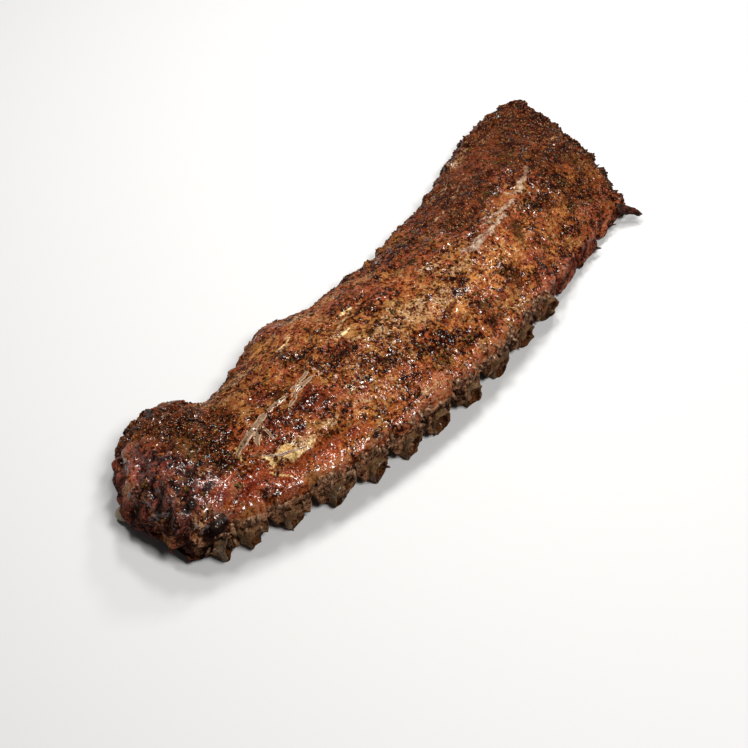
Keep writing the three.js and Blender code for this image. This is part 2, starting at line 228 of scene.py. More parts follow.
def add(tree, kind, inputs=None, **settings):
    """A shader node with its settings and its inputs."""
    made = tree.nodes.new("ShaderNode" + kind)
    for name, value in settings.items():
        setattr(made, name, value)
    set_inputs(tree, made, inputs or {})
    return made


def texture(tree, kind, size, **inputs):
    """A noise or a Voronoi pattern whose features are about size millimetres."""
    place = add(tree, "TexCoord").outputs["Object"]
    made = add(tree, "Tex" + kind, {"Vector": place, "Scale": 1 / (size * MM), **inputs})
    return made.outputs["Fac" if kind == "Noise" else "Distance"]


def between(tree, value, low, high, out_low=0.0, out_high=1.0):
    """A value read from low to high as a smooth step from out_low to out_high."""
    inputs = {"Value": value, "From Min": low, "From Max": high, "To Min": out_low, "To Max": out_high}
    return add(tree, "MapRange", inputs, interpolation_type="SMOOTHSTEP").outputs["Result"]


def maths(tree, operation, a, b):
    return add(tree, "Math", {0: a, 1: b}, operation=operation).outputs[0]


def plus(tree, a, b):
    return maths(tree, "ADD", a, b)


def times(tree, a, b):
    return maths(tree, "MULTIPLY", a, b)


def swing(tree, value):
    """How far a value between 0 and 1 is from its middle."""
    return maths(tree, "SUBTRACT", value, 0.5)


def over(tree, share, below, above, blend="MIX"):
    """One colour over another, by a share. A colour is three numbers or an output."""
    ends = {6: below, 7: above}
    ends = {socket: (*c, 1.0) if isinstance(c, tuple) else c for socket, c in ends.items()}
    return add(tree, "Mix", {0: share, **ends}, data_type="RGBA", blend_type=blend).outputs[2]


def mask_of(tree, name):
    return add(tree, "Attribute", attribute_name=name).outputs["Fac"]


def bumped(tree, height, distance, strength=1.0, below=None):
    inputs = {"Height": height, "Distance": distance * MM, "Strength": strength}
    if below:
        inputs["Normal"] = below
    return add(tree, "Bump", inputs).outputs["Normal"]


def finish_of(name):
    """A new material, its node tree and its surface shader."""
    material = bpy.data.materials.new(name)
    material.use_nodes = True
    return material, material.node_tree, material.node_tree.nodes["Principled BSDF"]


def bone_finish():
    """Browned bone with pores, a pale sawn rim, a spongy core and dark scorched parts."""
    material, tree, surface = finish_of("roasted bone")
    cloud = texture(tree, "Noise", 6, Detail=6.0, Roughness=0.65)
    fine = texture(tree, "Noise", 1.1, Detail=4.0)
    pores = texture(tree, "Voronoi", 1.3)
    patches = times(tree, swing(tree, cloud), 3)
    colour = over(tree, between(tree, cloud, 0.42, 0.66), BONE_ROAST, BONE_PALE)
    colour = over(tree, between(tree, fine, 0.5, 0.66, 0, 0.8), colour, BONE_DARK)
    scorch = plus(tree, mask_of(tree, "scorch"), patches)
    colour = over(tree, between(tree, scorch, 0.4, 1.1, 0, 0.85), colour, BONE_DARK)
    colour = over(tree, between(tree, mask_of(tree, "tip"), 0.2, 0.9, 0, 0.8), colour, BONE_GREY)
    rim = plus(tree, mask_of(tree, "rim"), patches)
    colour = over(tree, between(tree, rim, 0.5, 1.1, 0, 0.85), colour, BONE_PALE)
    spongy = over(tree, between(tree, plus(tree, pores, fine), 0.75, 1.1), MARROW, MARROW_BROWN)
    colour = over(tree, between(tree, mask_of(tree, "hollow"), 0.1, 0.6), colour, spongy)
    relief = bumped(tree, pores, 0.5, 0.6, bumped(tree, cloud, 1.8, 0.9))
    set_inputs(tree, surface, {
        "Base Color": colour,
        "Roughness": between(tree, fine, 0.3, 0.7, 0.42, 0.62),
        "Subsurface Weight": 0.08,
        "Subsurface Scale": 1.5 * MM,
        "Specular IOR Level": DRY_SHINE,
        "Coat Weight": between(tree, cloud, 0.5, 0.62, 0, 0.5),
        "Coat Roughness": 0.12,
        "Normal": bumped(tree, fine, 0.3, 0.5, relief),
    })
    return material


def tube_faces(rings, sides, flipped=False):
    """The faces round a tube of rings of points, and one face at each end."""
    faces = []
    for i in range(rings - 1):
        for j in range(sides):
            a, b = i * sides + j, i * sides + (j + 1) % sides
            faces.append((a, b, b + sides, a + sides) if flipped else (a, a + sides, b + sides, b))
    first, last = tuple(range(sides)), tuple(range((rings - 1) * sides, rings * sides))
    return faces + ([first[::-1], last] if flipped else [first, last[::-1]])


def rib_rings(k, start, end, hidden, width):
    """The rings of one rib, from the core of its hollow head to its tip. Each is a distance from the chine
    edge, the offsets of its points across and up, and the height of its middle."""
    along = start + (end - start) * np.linspace(0, 1, BONE_STEPS) ** BONE_STEP_GROWTH
    neck = smoothstep(along, start + HEAD_LENGTH, NECK_ENDS * width)
    head_half_height = HEAD_HALF_HEIGHT + (HIDDEN_HEAD_HALF_HEIGHT - HEAD_HALF_HEIGHT) * hidden
    bottom = np.maximum(0, under_height(float(k), np.clip(along / width, 0, 1)) - SHAFT_PROUD)
    half_width = HEAD_HALF_WIDTH + (SHAFT_HALF_WIDTH - HEAD_HALF_WIDTH) * neck
    half_width += (TIP_HALF_WIDTH - SHAFT_HALF_WIDTH) * smoothstep(along, TIP_STARTS * width, end)
    half_height = head_half_height + (SHAFT_HALF_HEIGHT - head_half_height) * neck
    middle = head_half_height + (bottom + SHAFT_HALF_HEIGHT - head_half_height) * neck
    dome = np.clip((along - end + TIP_DOME) / TIP_DOME, 0, TIP_DOME_SHARE)
    dome = np.sqrt(np.clip(1 - dome**2, 0, 1))
    roundness = HEAD_ROUNDNESS + NECK_ROUNDING * neck
    turn = np.linspace(0, 2 * np.pi, BONE_SIDES, endpoint=False)
    rings = []
    for i in range(BONE_STEPS):
        across = np.sign(np.cos(turn)) * np.abs(np.cos(turn)) ** roundness[i]
        up = np.sign(np.sin(turn)) * np.abs(np.sin(turn)) ** roundness[i]
        rings.append((along[i], across * half_width[i] * dome[i], up * half_height[i] * dome[i], middle[i]))
    sawn = rings[0]
    for scale, depth in [*SAWN_RINGS[::-1], (CORE_SHARE, SAWN_RINGS[-1][1])]:
        rings.insert(0, (start + depth, sawn[1] * scale, sawn[2] * scale, sawn[3]))
    return rings


def rib_bone(k):
    """The points and faces of one rib, and masks for its scorched parts, sawn rim, core and tip."""
    chine, tip, width = across_at(float(k))
    hidden = smoothstep(k, LAST_OPEN_RIB, FIRST_HIDDEN_RIB)
    start = -HEAD_PROUD + (HIDDEN_HEAD_INSET + HEAD_PROUD) * hidden
    end = width + (FIRST_TIP_PROUD if k == 1 else TIP_PROUD)
    rings = rib_rings(k, start, end, hidden, width)
    direction = (tip - chine) / width
    side = np.array([direction[1], -direction[0]])
    points, outward = [], []
    for distance, across, up, height in rings:
        plan = chine + direction * distance + side * across[:, None]
        points.append(np.column_stack([plan, height + up]))
        outward.append(np.column_stack([side * across[:, None], up]))
    points, outward = np.concatenate(points), np.concatenate(outward)
    outward /= np.linalg.norm(outward, axis=1)[:, None] + 1e-6
    order = np.repeat(np.arange(len(rings)), BONE_SIDES)
    along = np.repeat([ring[0] for ring in rings], BONE_SIDES)
    on_shaft = order > len(SAWN_RINGS)
    shaft_lumps = SHAFT_LUMPS + NECK_LUMPS * (1 - smoothstep(along, *(start + NECK_LUMPS_REACH)))
    lumps = np.where(on_shaft, shaft_lumps, HEAD_LUMPS)
    lumps += TIP_LUMPS * smoothstep(along, *(end - TIP_LUMPS_REACH)) * (k > 1)
    points += outward * (lumps * (1.1 * grain(points, 4.5, k) + 0.6 * grain(points, 1.7, k)))[:, None]
    ragged = 1.3 * grain(points, 4.5, k + 40) + 0.9 * grain(points, 2, k)
    points[:, :2] += direction * np.where(order <= len(SAWN_RINGS) + 1, ragged, 0)[:, None]
    points[:, 2] = np.maximum(points[:, 2], 0)
    rim_ring = len(SAWN_RINGS) - 1
    at_tip = smoothstep(along, *(end - TIP_REACH))
    scorched_head = np.where(on_shaft, 1 - smoothstep(along, *(start + SCORCH_REACH)), 0.3)
    masks = {
        "hollow": np.clip((rim_ring - order) / 2, 0, 1),
        "rim": np.clip(1 - np.abs(order - rim_ring - 0.5) / RIM_BREADTH, 0, 1),
        "scorch": scorched_head * (0.6 + 0.4 * grain(points, 5, k + 7)) + 0.95 * at_tip * (k > 1),
        "tip": at_tip * (k == 1),
    }
    return points, tube_faces(len(rings), BONE_SIDES), masks


BONE = bone_finish()
for k in range(1, RIB_COUNT + 1):
    node = f"rib_{k:02d}"
    points, faces, masks = rib_bone(k)
    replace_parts(piece_from(f"bone_{k:02d}", points, faces, BONE, "rib_bone", **masks), node)

# ---- The slab of meat ----
# The loin and rib meat that lies over the bones, roasted under a dry rub to a dark, wet crust. Its chine
# edge is a cut face with a lump round each bone, and a thin skin of membrane covers the bone side.

# The height of the top in millimetres: at each rib number k of TOP_KEYS, at five shares of the way across.
TOP_KEYS = [0, 1.2, 2.6, 4, 6.5, 9, 11, 13, 15]
TOP_HEIGHTS = [
    (20, 30, 33, 28, 17), (25, 38, 41, 35, 20), (28, 42, 45, 39, 20), (28, 40, 43, 37, 17),
    (29, 41, 45, 37, 15), (28, 40, 44, 35, 14), (24, 37, 41, 32, 13), (13, 28, 34, 27, 12),
    (9, 20, 25, 21, 12),
]
ACROSS_KEYS = [0, 0.25, 0.5, 0.75, 1]

# How the edges are rounded, drawn in between the ribs and pinched where the top meets the bone side.
SCALLOP = 3.5
SCALLOP_DEPTH_ACROSS = 9
CHINE_ROUND = 5
TIP_ROUND = 9
NEAR_ROUND = 22
FAR_ROUND = 7
END_FACE = 2
CHINE_PINCH = 0.14
TIP_PINCH = 0.5

# Relief along lines of places (k, v): its height, its width, and the line.
RELIEF = {
    "fold": (-5, 14, [(3.6, 0.78), (3.35, 0.58), (2.7, 0.27)]),
    "fat_seam": (2.2, 7, [(2.7, 0.25), (3.2, 0.215), (3.7, 0.18), (5.2, 0.25)]),
    "seam_crease": (-1.8, 6, [(3.1, 0.14), (3.6, 0.11), (4.9, 0.15)]),
    "long_tendon": (1.7, 5, [(2.95, 0.33), (4.05, 0.5), (5.2, 0.52), (5.9, 0.57)]),
    "short_tendon": (1.5, 5, [(4.3, 0.43), (4.65, 0.47), (5.2, 0.48)]),
    "far_tendon": (1.6, 8, [(9.95, 0.46), (10.5, 0.44), (11.9, 0.44), (13, 0.5)]),
    "tip_groove": (-1.6, 8, [(5.4, 0.6), (7.4, 0.69), (9, 0.73), (12, 0.78)]),
}
RELIEF_SHARPNESS = 2.5
CRAG_HEIGHT = 0.9
CRAG_SIZE = 13
CRAG_SLICE = 0.5
RAGGED_EDGE = 1.6
RAGGED_SIZE = 5
RAGGED_SLICES = (3.5, 7.5)

# How many stations of points there are along the slab and up each end wall, and how many rows across it.
STATIONS = 440
END_STATIONS = 9
TOP_ROWS = 158
UNDER_ROWS = 58
FINE_STEPS = 3000
MIDDLE_RIB = 7.0


def plan_point(k, v):
    """Where the places (k, v) are in plan."""
    chine, tip, _ = across_at(k)
    return chine + (tip - chine) * np.asarray(v)[..., None]


def distance_to_line(places, line):
    """How far plan points are from a line of plan points."""
    nearest = np.full(len(places), np.inf)
    for a, b in zip(line[:-1], line[1:]):
        t = np.clip(((places - a) @ (b - a)) / ((b - a) @ (b - a)), 0, 1)
        nearest = np.minimum(nearest, np.linalg.norm(places - a - t[:, None] * (b - a), axis=1))
    return nearest


def line_in_plan(line):
    """A line of places (k, v) as plan points."""
    return plan_point(np.array([p[0] for p in line], float), np.array([p[1] for p in line], float))


def rounded_edge(distance, radius):
    """A rise from 0 at an edge to 1 at a radius from it, shaped as a quarter circle."""
    s = 1 - np.clip(distance / radius, 0, 1)
    return np.sqrt(np.maximum(0, 1 - s * s))


def top_height(k, v):
    """The height of the top above the table, with its seams and tendons."""
    columns = [smooth_through(TOP_KEYS, heights, k) for heights in np.transpose(TOP_HEIGHTS)]
    height = smooth_through(ACROSS_KEYS, np.stack(columns), v)
    place = plan_point(k, v)
    for rise, breadth, line in RELIEF.values():
        t = distance_to_line(place, line_in_plan(line)) / breadth
        height = height + rise * np.exp(-RELIEF_SHARPNESS * t * t)
    return height + CRAG_HEIGHT * noise(place[:, 0] / CRAG_SIZE, place[:, 1] / CRAG_SIZE, CRAG_SLICE)


def slab_point(k, v, side, wall=1.0):
    """A point on the slab: its top where side is 1, its bone side where side is -1. Over the walls at its
    two ends, wall goes from 0 at mid height to 1 where the top or the bone side starts."""
    chine, tip, width = across_at(k)
    place = plan_point(k, v)
    from_near = np.linalg.norm(place - plan_point(np.zeros_like(k), v), axis=1)
    from_far = np.linalg.norm(place - plan_point(np.full_like(k, FAR_END), v), axis=1)
    inset = (
        rounded_edge(v * width, CHINE_ROUND) * rounded_edge((1 - v) * width, TIP_ROUND)
        * rounded_edge(END_FACE + from_near, NEAR_ROUND) * rounded_edge(END_FACE + from_far, FAR_ROUND)
    )
    top, under = top_height(k, v), under_height(k, v)
    pinch = under + (top - under) * (CHINE_PINCH + (TIP_PINCH - CHINE_PINCH) * v)
    height = pinch + ((top if side > 0 else under) - pinch) * inset * wall
    ragged = [RAGGED_EDGE * (1 - inset) * noise(*(place.T / RAGGED_SIZE), s) for s in RAGGED_SLICES]
    scallop = SCALLOP * (1 - ribness(k)) / width * np.exp(-v * width / SCALLOP_DEPTH_ACROSS)
    place = place + np.stack(ragged, -1) + scallop[:, None] * (tip - chine)
    return np.column_stack([place, height])


def even_shares(points, shares, count):
    """Shares that cut a line of points into pieces of equal length."""
    length = np.concatenate([[0], np.cumsum(np.linalg.norm(np.diff(points, axis=0), axis=1))])
    return np.interp(np.linspace(0, length[-1], count), length, shares)


def strip_between(upper, upper_shares, lower, lower_shares):
    """Triangles between two rows of points that start and end together."""
    faces, i, j = [], 0, 0
    while i < len(upper) - 1 or j < len(lower) - 1:
        upper_ended, lower_ended = i == len(upper) - 1, j == len(lower) - 1
        upper_first = not upper_ended and (lower_ended or upper_shares[i + 1] <= lower_shares[j + 1])
        following = upper[i + 1] if upper_first else lower[j + 1]
        if len({upper[i], lower[j], following}) == 3:
            faces.append((upper[i], lower[j], following))
        i, j = (i + 1, j) if upper_first else (i, j + 1)
    return faces


def slab_of_meat():
    """The slab's points, its faces, and the k, v and side of each point."""
    many = np.linspace(0, 1, FINE_STEPS)
    middle = np.full_like(many, MIDDLE_RIB)
    top_shares = even_shares(slab_point(middle, many, 1), many, TOP_ROWS)
    under_shares = even_shares(slab_point(middle, many, -1), many, UNDER_ROWS)
    along = even_shares(plan_point(many * FAR_END, np.full_like(many, 0.5)), many * FAR_END, STATIONS)
    walls = np.linspace(0, 1, END_STATIONS)[:-1]
    stations = [(0.0, w) for w in walls] + [(k, 1.0) for k in along]
    stations += [(float(FAR_END), w) for w in walls[::-1]]
    ks, vs, sides, points, count = [], [], [], [], 0

    def add_row(station, shares, side):
        nonlocal count
        k = np.full(len(shares), station[0])
        points.append(slab_point(k, shares, side, station[1]))
        ks.append(k)
        vs.append(shares)
        sides.append(np.full(len(shares), side))
        count += len(shares)
        return list(range(count - len(shares), count))

    top = [add_row(station, top_shares, 1) for station in stations]
    inner = [add_row(station, under_shares[1:-1], -1) for station in stations[1:-1]]
    under = [[top[i + 1][0], *row, top[i + 1][-1]] for i, row in enumerate(inner)]
    faces = []
    for grid, flip in ((top, False), (under, True)):
        for a, b in zip(grid[:-1], grid[1:]):
            for j in range(len(a) - 1):
                face = (a[j], b[j], b[j + 1], a[j + 1])
                faces.append(face[::-1] if flip else face)
    near = strip_between(top[0], top_shares, under[0], under_shares)
    far = strip_between(top[-1], top_shares, under[-1], under_shares)
    faces += [face[::-1] for face in near] + far
    return np.concatenate(points), faces, np.concatenate(ks), np.concatenate(vs), np.concatenate(sides)


def normals_of(points, faces):
    """Outward directions at the points of a mesh."""
    total = np.zeros_like(points)
    quads = np.array([face if len(face) == 4 else (*face, face[0]) for face in faces])
    corners = points[quads]
    normal = np.cross(corners[:, 2] - corners[:, 0], corners[:, 3] - corners[:, 1])
    for corner in range(4):
        np.add.at(total, quads[:, corner], normal)
    return total / (np.linalg.norm(total, axis=1)[:, None] + 1e-12)


# The grain of the muscle, which runs along the rack, and the hollow that runs along the cut face.
RIB_PITCH = 30
FIBRE_LENGTH = 16
FIBRE_BREADTH = 4.5
RECESS_DEPTH = 1.1

# Round lumps on the top: (k, v, height, radius).
KNOBS = [
    (0.45, 0.12, 2.5, 4.5), (0.8, 0.18, 2.2, 4), (1.05, 0.09, 1.3, 5), (0.75, 0.04, 2, 6),
    (2.05, 0.36, 2.2, 4.5), (1.15, 0.86, 2, 9), (0.3, 0.3, 1.8, 6), (1.5, 0.3, 1.6, 6),
    (1.5, 0.5, 1.6, 6), (0.6, 0.6, 1.4, 5), (1.9, 0.58, 1.2, 3.5), (3.9, 0.24, 1.2, 4),
    (4.4, 0.22, 1, 4), (9.9, 0.93, 1.2, 6), (12.2, 0.95, 2.4, 6), (13, 0.93, 2.2, 5),
    (14.85, 0.69, 2, 5), (14.85, 0.45, 2.2, 6), (14.9, 0.32, 2, 5), (13.9, 0.96, 2, 5),
]
KNOB_SHARPNESS = 2.2

# The edge of the thick end's crust: at each share across, the rib number where the crust stops.
THICK_EDGE = [
    (0, 1.3), (0.1, 1.4), (0.2, 2.2), (0.26, 2.6), (0.33, 2.85), (0.42, 3.05), (0.55, 3.3),
    (0.72, 3.55), (1, 3.7),
]

# Marks on the top, each an oval at (k, v) with half its length and half its breadth, and with its turn in
# degrees where it doesn't lie straight along the rack.
MARKS = {
    "dark": [
        (0.4, 0.88, 10, 5), (0.9, 0.33, 10, 5), (1.0, 0.52, 9, 5), (2.0, 0.62, 6, 4), (2.7, 0.45, 9, 10),
        (2.9, 0.62, 8, 8), (3.2, 0.75, 10, 6), (2.9, 0.88, 8, 8), (0.6, 0.45, 8, 6), (1.5, 0.38, 6, 4),
        (0.8, 0.04, 12, 4), (2.1, 0.12, 8, 3), (0.25, 0.6, 5, 12), (6.15, 0.445, 10, 5), (5.8, 0.45, 8, 4),
        (6.8, 0.3, 8, 7), (7.4, 0.62, 9, 6), (8.0, 0.18, 16, 8), (7.6, 0.25, 10, 5), (8.5, 0.31, 5, 4),
        (5.2, 0.25, 6, 3), (4.2, 0.35, 6, 8), (4.8, 0.42, 6, 4), (4.8, 0.32, 10, 5), (4.5, 0.07, 4, 5),
        (6.6, 0.14, 8, 4), (8.8, 0.12, 10, 5), (8.1, 0.6, 8, 5), (9.3, 0.2, 8, 4), (5.6, 0.9, 8, 6),
        (9.5, 0.84, 16, 7), (10.3, 0.84, 12, 6), (11.4, 0.33, 10, 6), (11.5, 0.2, 6, 5), (10.3, 0.23, 7, 4),
        (12.7, 0.28, 8, 5), (12.6, 0.12, 14, 4), (13.4, 0.2, 10, 8), (13.5, 0.36, 9, 6),
        (12.2, 0.65, 18, 8), (13.2, 0.7, 18, 8), (11.5, 0.6, 14, 5), (14.3, 0.7, 14, 10),
        (14.8, 0.65, 6, 16), (14.9, 0.45, 4, 10), (14.6, 0.1, 8, 6), (10.9, 0.71, 14, 5), (4.3, 0.7, 8, 8),
    ],
    "light": [
        (8.3, 0.38, 16, 8), (5.9, 0.36, 10, 5), (5.6, 0.2, 10, 5), (5.1, 0.1, 12, 5), (6.3, 0.22, 8, 4),
        (9.6, 0.28, 10, 9), (10.8, 0.2, 8, 14), (11.9, 0.22, 6, 14), (10.0, 0.35, 10, 6),
        (12.8, 0.23, 8, 4), (8.8, 0.45, 10, 5), (9.5, 0.52, 8, 5), (5.4, 0.8, 10, 5), (6.7, 0.82, 14, 8),
        (7.4, 0.88, 14, 6), (8.3, 0.86, 14, 5), (6.6, 0.55, 12, 3), (7.9, 0.5, 8, 5), (14.4, 0.54, 10, 3),
        (4.6, 0.9, 6, 5), (3.9, 0.06, 14, 4), (7.2, 0.08, 12, 5), (10.4, 0.06, 14, 3), (12.3, 0.9, 10, 5),
        (0.6, 0.17, 5, 4), (1.0, 0.21, 4, 3),
    ],
    "tan": [
        (1.15, 0.88, 4, 8), (1.9, 0.89, 4, 3), (0.95, 0.75, 3, 4), (1.05, 0.09, 4, 3), (1.1, 0.2, 5, 3),
        (0.6, 0.16, 4, 4), (0.1, 0.42, 4, 10), (0.35, 0.07, 4, 3), (1.0, 0.42, 4, 3), (2.05, 0.35, 3, 3.5),
        (5.3, 0.86, 12, 6), (6.6, 0.85, 15, 8), (7.4, 0.9, 12, 6), (8.2, 0.84, 10, 4), (5.4, 0.57, 9, 3),
        (6.2, 0.37, 9, 5), (7.7, 0.47, 10, 6), (9.4, 0.56, 6, 5), (12.3, 0.9, 8, 5), (13.1, 0.86, 6, 4),
        (14.4, 0.54, 11, 2.5, 3), (5.6, 0.28, 12, 4, 10), (4.6, 0.9, 7, 5), (9.6, 0.14, 9, 4),
        (4.2, 0.93, 5, 4),
    ],
    "glaze": [(3.2, 0.9, 12, 9, 20), (2.05, 0.22, 9, 5, 10)],
    "rub": [
        (2.35, 0.32, 8, 4, 10), (3.5, 0.62, 14, 9, 30), (3.0, 0.8, 14, 10), (4.3, 0.98, 8, 4),
        (5.6, 0.61, 9, 3, 5), (6.1, 0.46, 10, 6, 5), (10.6, 0.65, 16, 8), (11.7, 0.2, 7, 5, 30),
        (12.6, 0.3, 9, 6), (9.2, 0.12, 7, 4), (7.6, 0.63, 8, 4, 10), (8.4, 0.12, 7, 3),
        (13.2, 0.35, 14, 8, 20), (10.4, 0.2, 9, 6, 40), (11.4, 0.33, 9, 5, 60),
    ],
    "bare": [
        (1.95, 0.2, 12, 7, 15), (2.6, 0.13, 17, 8, 5), (3.4, 0.11, 18, 7, 5), (4.2, 0.12, 16, 7, 3),
        (5.0, 0.13, 12, 5),
    ],
    "rosy": [
        (2.2, 0.18, 9, 5, 20), (2.9, 0.1, 10, 4), (7.3, 0.09, 11, 4), (10.4, 0.53, 9, 4),
        (12.3, 0.6, 16, 7, 10), (9.6, 0.6, 8, 4), (13.5, 0.12, 14, 6), (7.9, 0.62, 7, 4, 20),
        # The rosy mark at (1.25, 0.45) is painted sheen: a lighter patch where the glaze on the thick end
        # shines.
        (1.25, 0.45, 10, 6, 40), (4.0, 0.27, 9, 4), (14.5, 0.12, 9, 6),
    ],
    "muscle": [
        (4.0, 0.4, 10, 5), (4.6, 0.4, 14, 6, 10), (4.9, 0.36, 10, 5), (3.6, 0.28, 8, 4, 20),
        (4.9, 0.46, 8, 2.5, 8), (2.75, 0.28, 8, 4, 30), (4.2, 0.62, 11, 7, 20), (6.2, 0.47, 10, 5),
        (4.1, 0.33, 6, 4),
    ],
    "gold": [
        (10.4, 0.3, 16, 7), (9.9, 0.23, 8, 5, 30), (11.8, 0.3, 12, 5, 20), (11.8, 0.12, 8, 4),
        (12.8, 0.22, 10, 5), (6.4, 0.13, 8, 4), (6.2, 0.3, 8, 4, 20), (4.6, 0.1, 9, 5), (7.6, 0.4, 8, 4),
        (8.9, 0.28, 11, 4, 10), (5.4, 0.86, 10, 4), (8.3, 0.36, 8, 4, 20), (3.5, 0.52, 5, 3, 60),
        (9.6, 0.33, 6, 4), (13.7, 0.3, 8, 4), (11, 0.14, 8, 3), (5.5, 0.4, 6, 3), (0.8, 0.16, 5, 4),
        (5.3, 0.16, 9, 5), (10.9, 0.27, 6, 4),
    ],
    "pale": [
        (8.0, 0.42, 16, 8), (8.7, 0.38, 11, 6, 10), (9.5, 0.43, 9, 4), (6.4, 0.57, 10, 2, 3),
        (7.1, 0.45, 10, 5), (4.5, 0.88, 12, 5), (6.6, 0.86, 14, 6), (5.6, 0.3, 10, 3, 30),
        (7.6, 0.5, 10, 3, 20), (3.8, 0.24, 12, 3), (4.6, 0.24, 10, 3), (11.2, 0.9, 10, 4),
        (12.4, 0.93, 9, 4), (0.55, 0.15, 4, 3), (9.1, 0.56, 10, 3), (6.9, 0.06, 10, 3),
        (10.2, 0.05, 12, 2.5), (11.9, 0.4, 8, 3), (2.05, 0.35, 2.5, 2.5), (8.25, 0.41, 4, 5, 40),
        (8.8, 0.36, 7, 4, 20), (9.45, 0.43, 7, 3), (8.0, 0.35, 6, 3, 20), (12.7, 0.93, 6, 3),
        # The pale mark at (7.0, 0.365) is a painted highlight, where the wet top glints.
        (4.1, 0.235, 6, 2.5), (7.0, 0.365, 7, 2),
    ],
    "fat": [
        (3.3, 0.2, 6, 3, 10), (3.5, 0.21, 8, 2.8, -8), (3.8, 0.195, 10, 2), (5.65, 0.74, 7, 1, 6),
        (7.2, 0.7, 8, 0.9, 6), (6.6, 0.56, 6, 0.9, 4),
    ],
    "char": [
        (0.75, 0.03, 9, 4), (0.85, 0.3, 6, 3.4, 10), (6.15, 0.445, 6, 1.9, 5), (7.25, 0.615, 4.5, 1.4, 5),
        (7.6, 0.68, 2.6, 1.4), (5.75, 0.6, 7, 0.9, 6), (1.35, 0.44, 4, 1.6, 30), (2.9, 0.62, 5, 3, 60),
        (2.2, 0.42, 6, 2, 20), (2.8, 0.44, 5, 2.4, 70), (3.15, 0.7, 5, 2.5, 40), (3.6, 0.93, 6, 3),
        (14.7, 0.98, 10, 3), (14.2, 0.99, 12, 3), (14.9, 0.69, 9, 10), (14.95, 0.85, 6, 10),
        (14.85, 0.45, 9, 9), (14.9, 0.32, 8, 7), (14.95, 0.12, 4, 10), (14.95, 0.57, 4, 8),
        (13.1, 0.99, 8, 2.5), (9.3, 0.97, 6, 2), (10.4, 0.98, 8, 2), (14.6, 0.75, 6, 4), (5.2, 0.07, 4, 2),
        (12.3, 0.35, 5, 2, 40), (13.9, 0.2, 5, 2), (4.75, 0.44, 3, 1.6), (2.6, 0.07, 4, 1.5),
        (3.1, 0.13, 3, 1.2, 20), (1.7, 0.27, 5, 2, 20), (0.35, 0.85, 4, 6), (0.5, 0.55, 3, 3),
    ],
    "red": [
        (1.9, 0.575, 3, 2, 10), (6.6, 0.14, 2.4, 1.6), (6.0, 0.63, 2, 1.4), (5.85, 0.25, 2.2, 1.4),
        (4.9, 0.47, 5, 1.6, 10), (3.1, 0.55, 2, 1.4), (2.3, 0.62, 3, 2), (8.1, 0.07, 2.4, 1.4),
        (1.8, 0.19, 6, 3), (2.5, 0.12, 5, 2),
    ],
    "herb": [
        (2.5, 0.5, 9, 10), (6.65, 0.285, 5, 3, 20), (8.6, 0.305, 4.5, 2.5), (9.3, 0.2, 5, 3),
        (7.6, 0.15, 5, 3), (8.8, 0.55, 4, 2.5), (7.0, 0.47, 5, 2.5), (10.3, 0.23, 5, 3, 30),
        (10.4, 0.17, 4, 2.5), (11.4, 0.3, 6, 3.5, 50), (13.2, 0.2, 7, 4), (13.4, 0.3, 6, 4),
        (12.9, 0.66, 12, 6), (5.2, 0.66, 5, 3), (4.6, 0.95, 6, 3), (14.2, 0.35, 8, 4), (11.6, 0.6, 8, 4),
        (9.1, 0.68, 6, 3), (13.8, 0.8, 8, 4), (1.75, 0.42, 5, 3),
    ],
}

# Marks along lines of places: half the breadth of each, and its line.
STREAKS = {
    "fat": [
        (1.1, [(3.15, 0.235), (3.3, 0.205), (3.6, 0.195), (4.0, 0.185)]),
        (0.9, [(2.85, 0.27), (2.95, 0.31), (3.0, 0.35)]),
        (0.7, [(3.0, 0.15), (3.3, 0.1)]),
    ],
    "pale": [
        (1.6, [(6.5, 0.6), (7.0, 0.65), (7.6, 0.71)]), (0.8, [(10, 0.77), (10.8, 0.775), (11.9, 0.79)]),
        (1.2, [(14.2, 0.53), (14.7, 0.54)]), (1.3, [(5.3, 0.73), (5.9, 0.745)]),
        (1.5, [(5.2, 0.25), (5.4, 0.22), (5.7, 0.21)]), (1, [(6.3, 0.5), (6.7, 0.49)]),
    ],
    "sinew": [
        (2.8, [(9.95, 0.47), (10.2, 0.445), (10.5, 0.44)]),
        (1.3, [(10.5, 0.44), (10.9, 0.43), (11.4, 0.44)]),
        (1.6, [(10.8, 0.49), (11.1, 0.48), (11.5, 0.46), (11.9, 0.44)]), (0.9, [(10.9, 0.53), (11.3, 0.51)]),
        (1.5, [(12, 0.48), (12.2, 0.46), (12.6, 0.48), (13, 0.495)]), (0.8, [(11.9, 0.55), (12, 0.49)]),
    ],
    "char": [(0.7, [(5.4, 0.61), (5.7, 0.6), (6.0, 0.595)]), (0.8, [(3.45, 0.33), (3.6, 0.36)])],
}

CRUST_BLACK = (0.009, 0.003, 0.001)
CRUST_DARK = (0.028, 0.006, 0.001)
CRUST_BROWN = (0.12, 0.023, 0.004)
CRUST_WARM = (0.26, 0.062, 0.011)
CRUST_TAN = (0.44, 0.2, 0.068)
CRUST_ROSE = (0.24, 0.053, 0.025)
CRUST_OLIVE = (0.26, 0.13, 0.036)
ROAST_STAIN = (0.25, 0.068, 0.015)

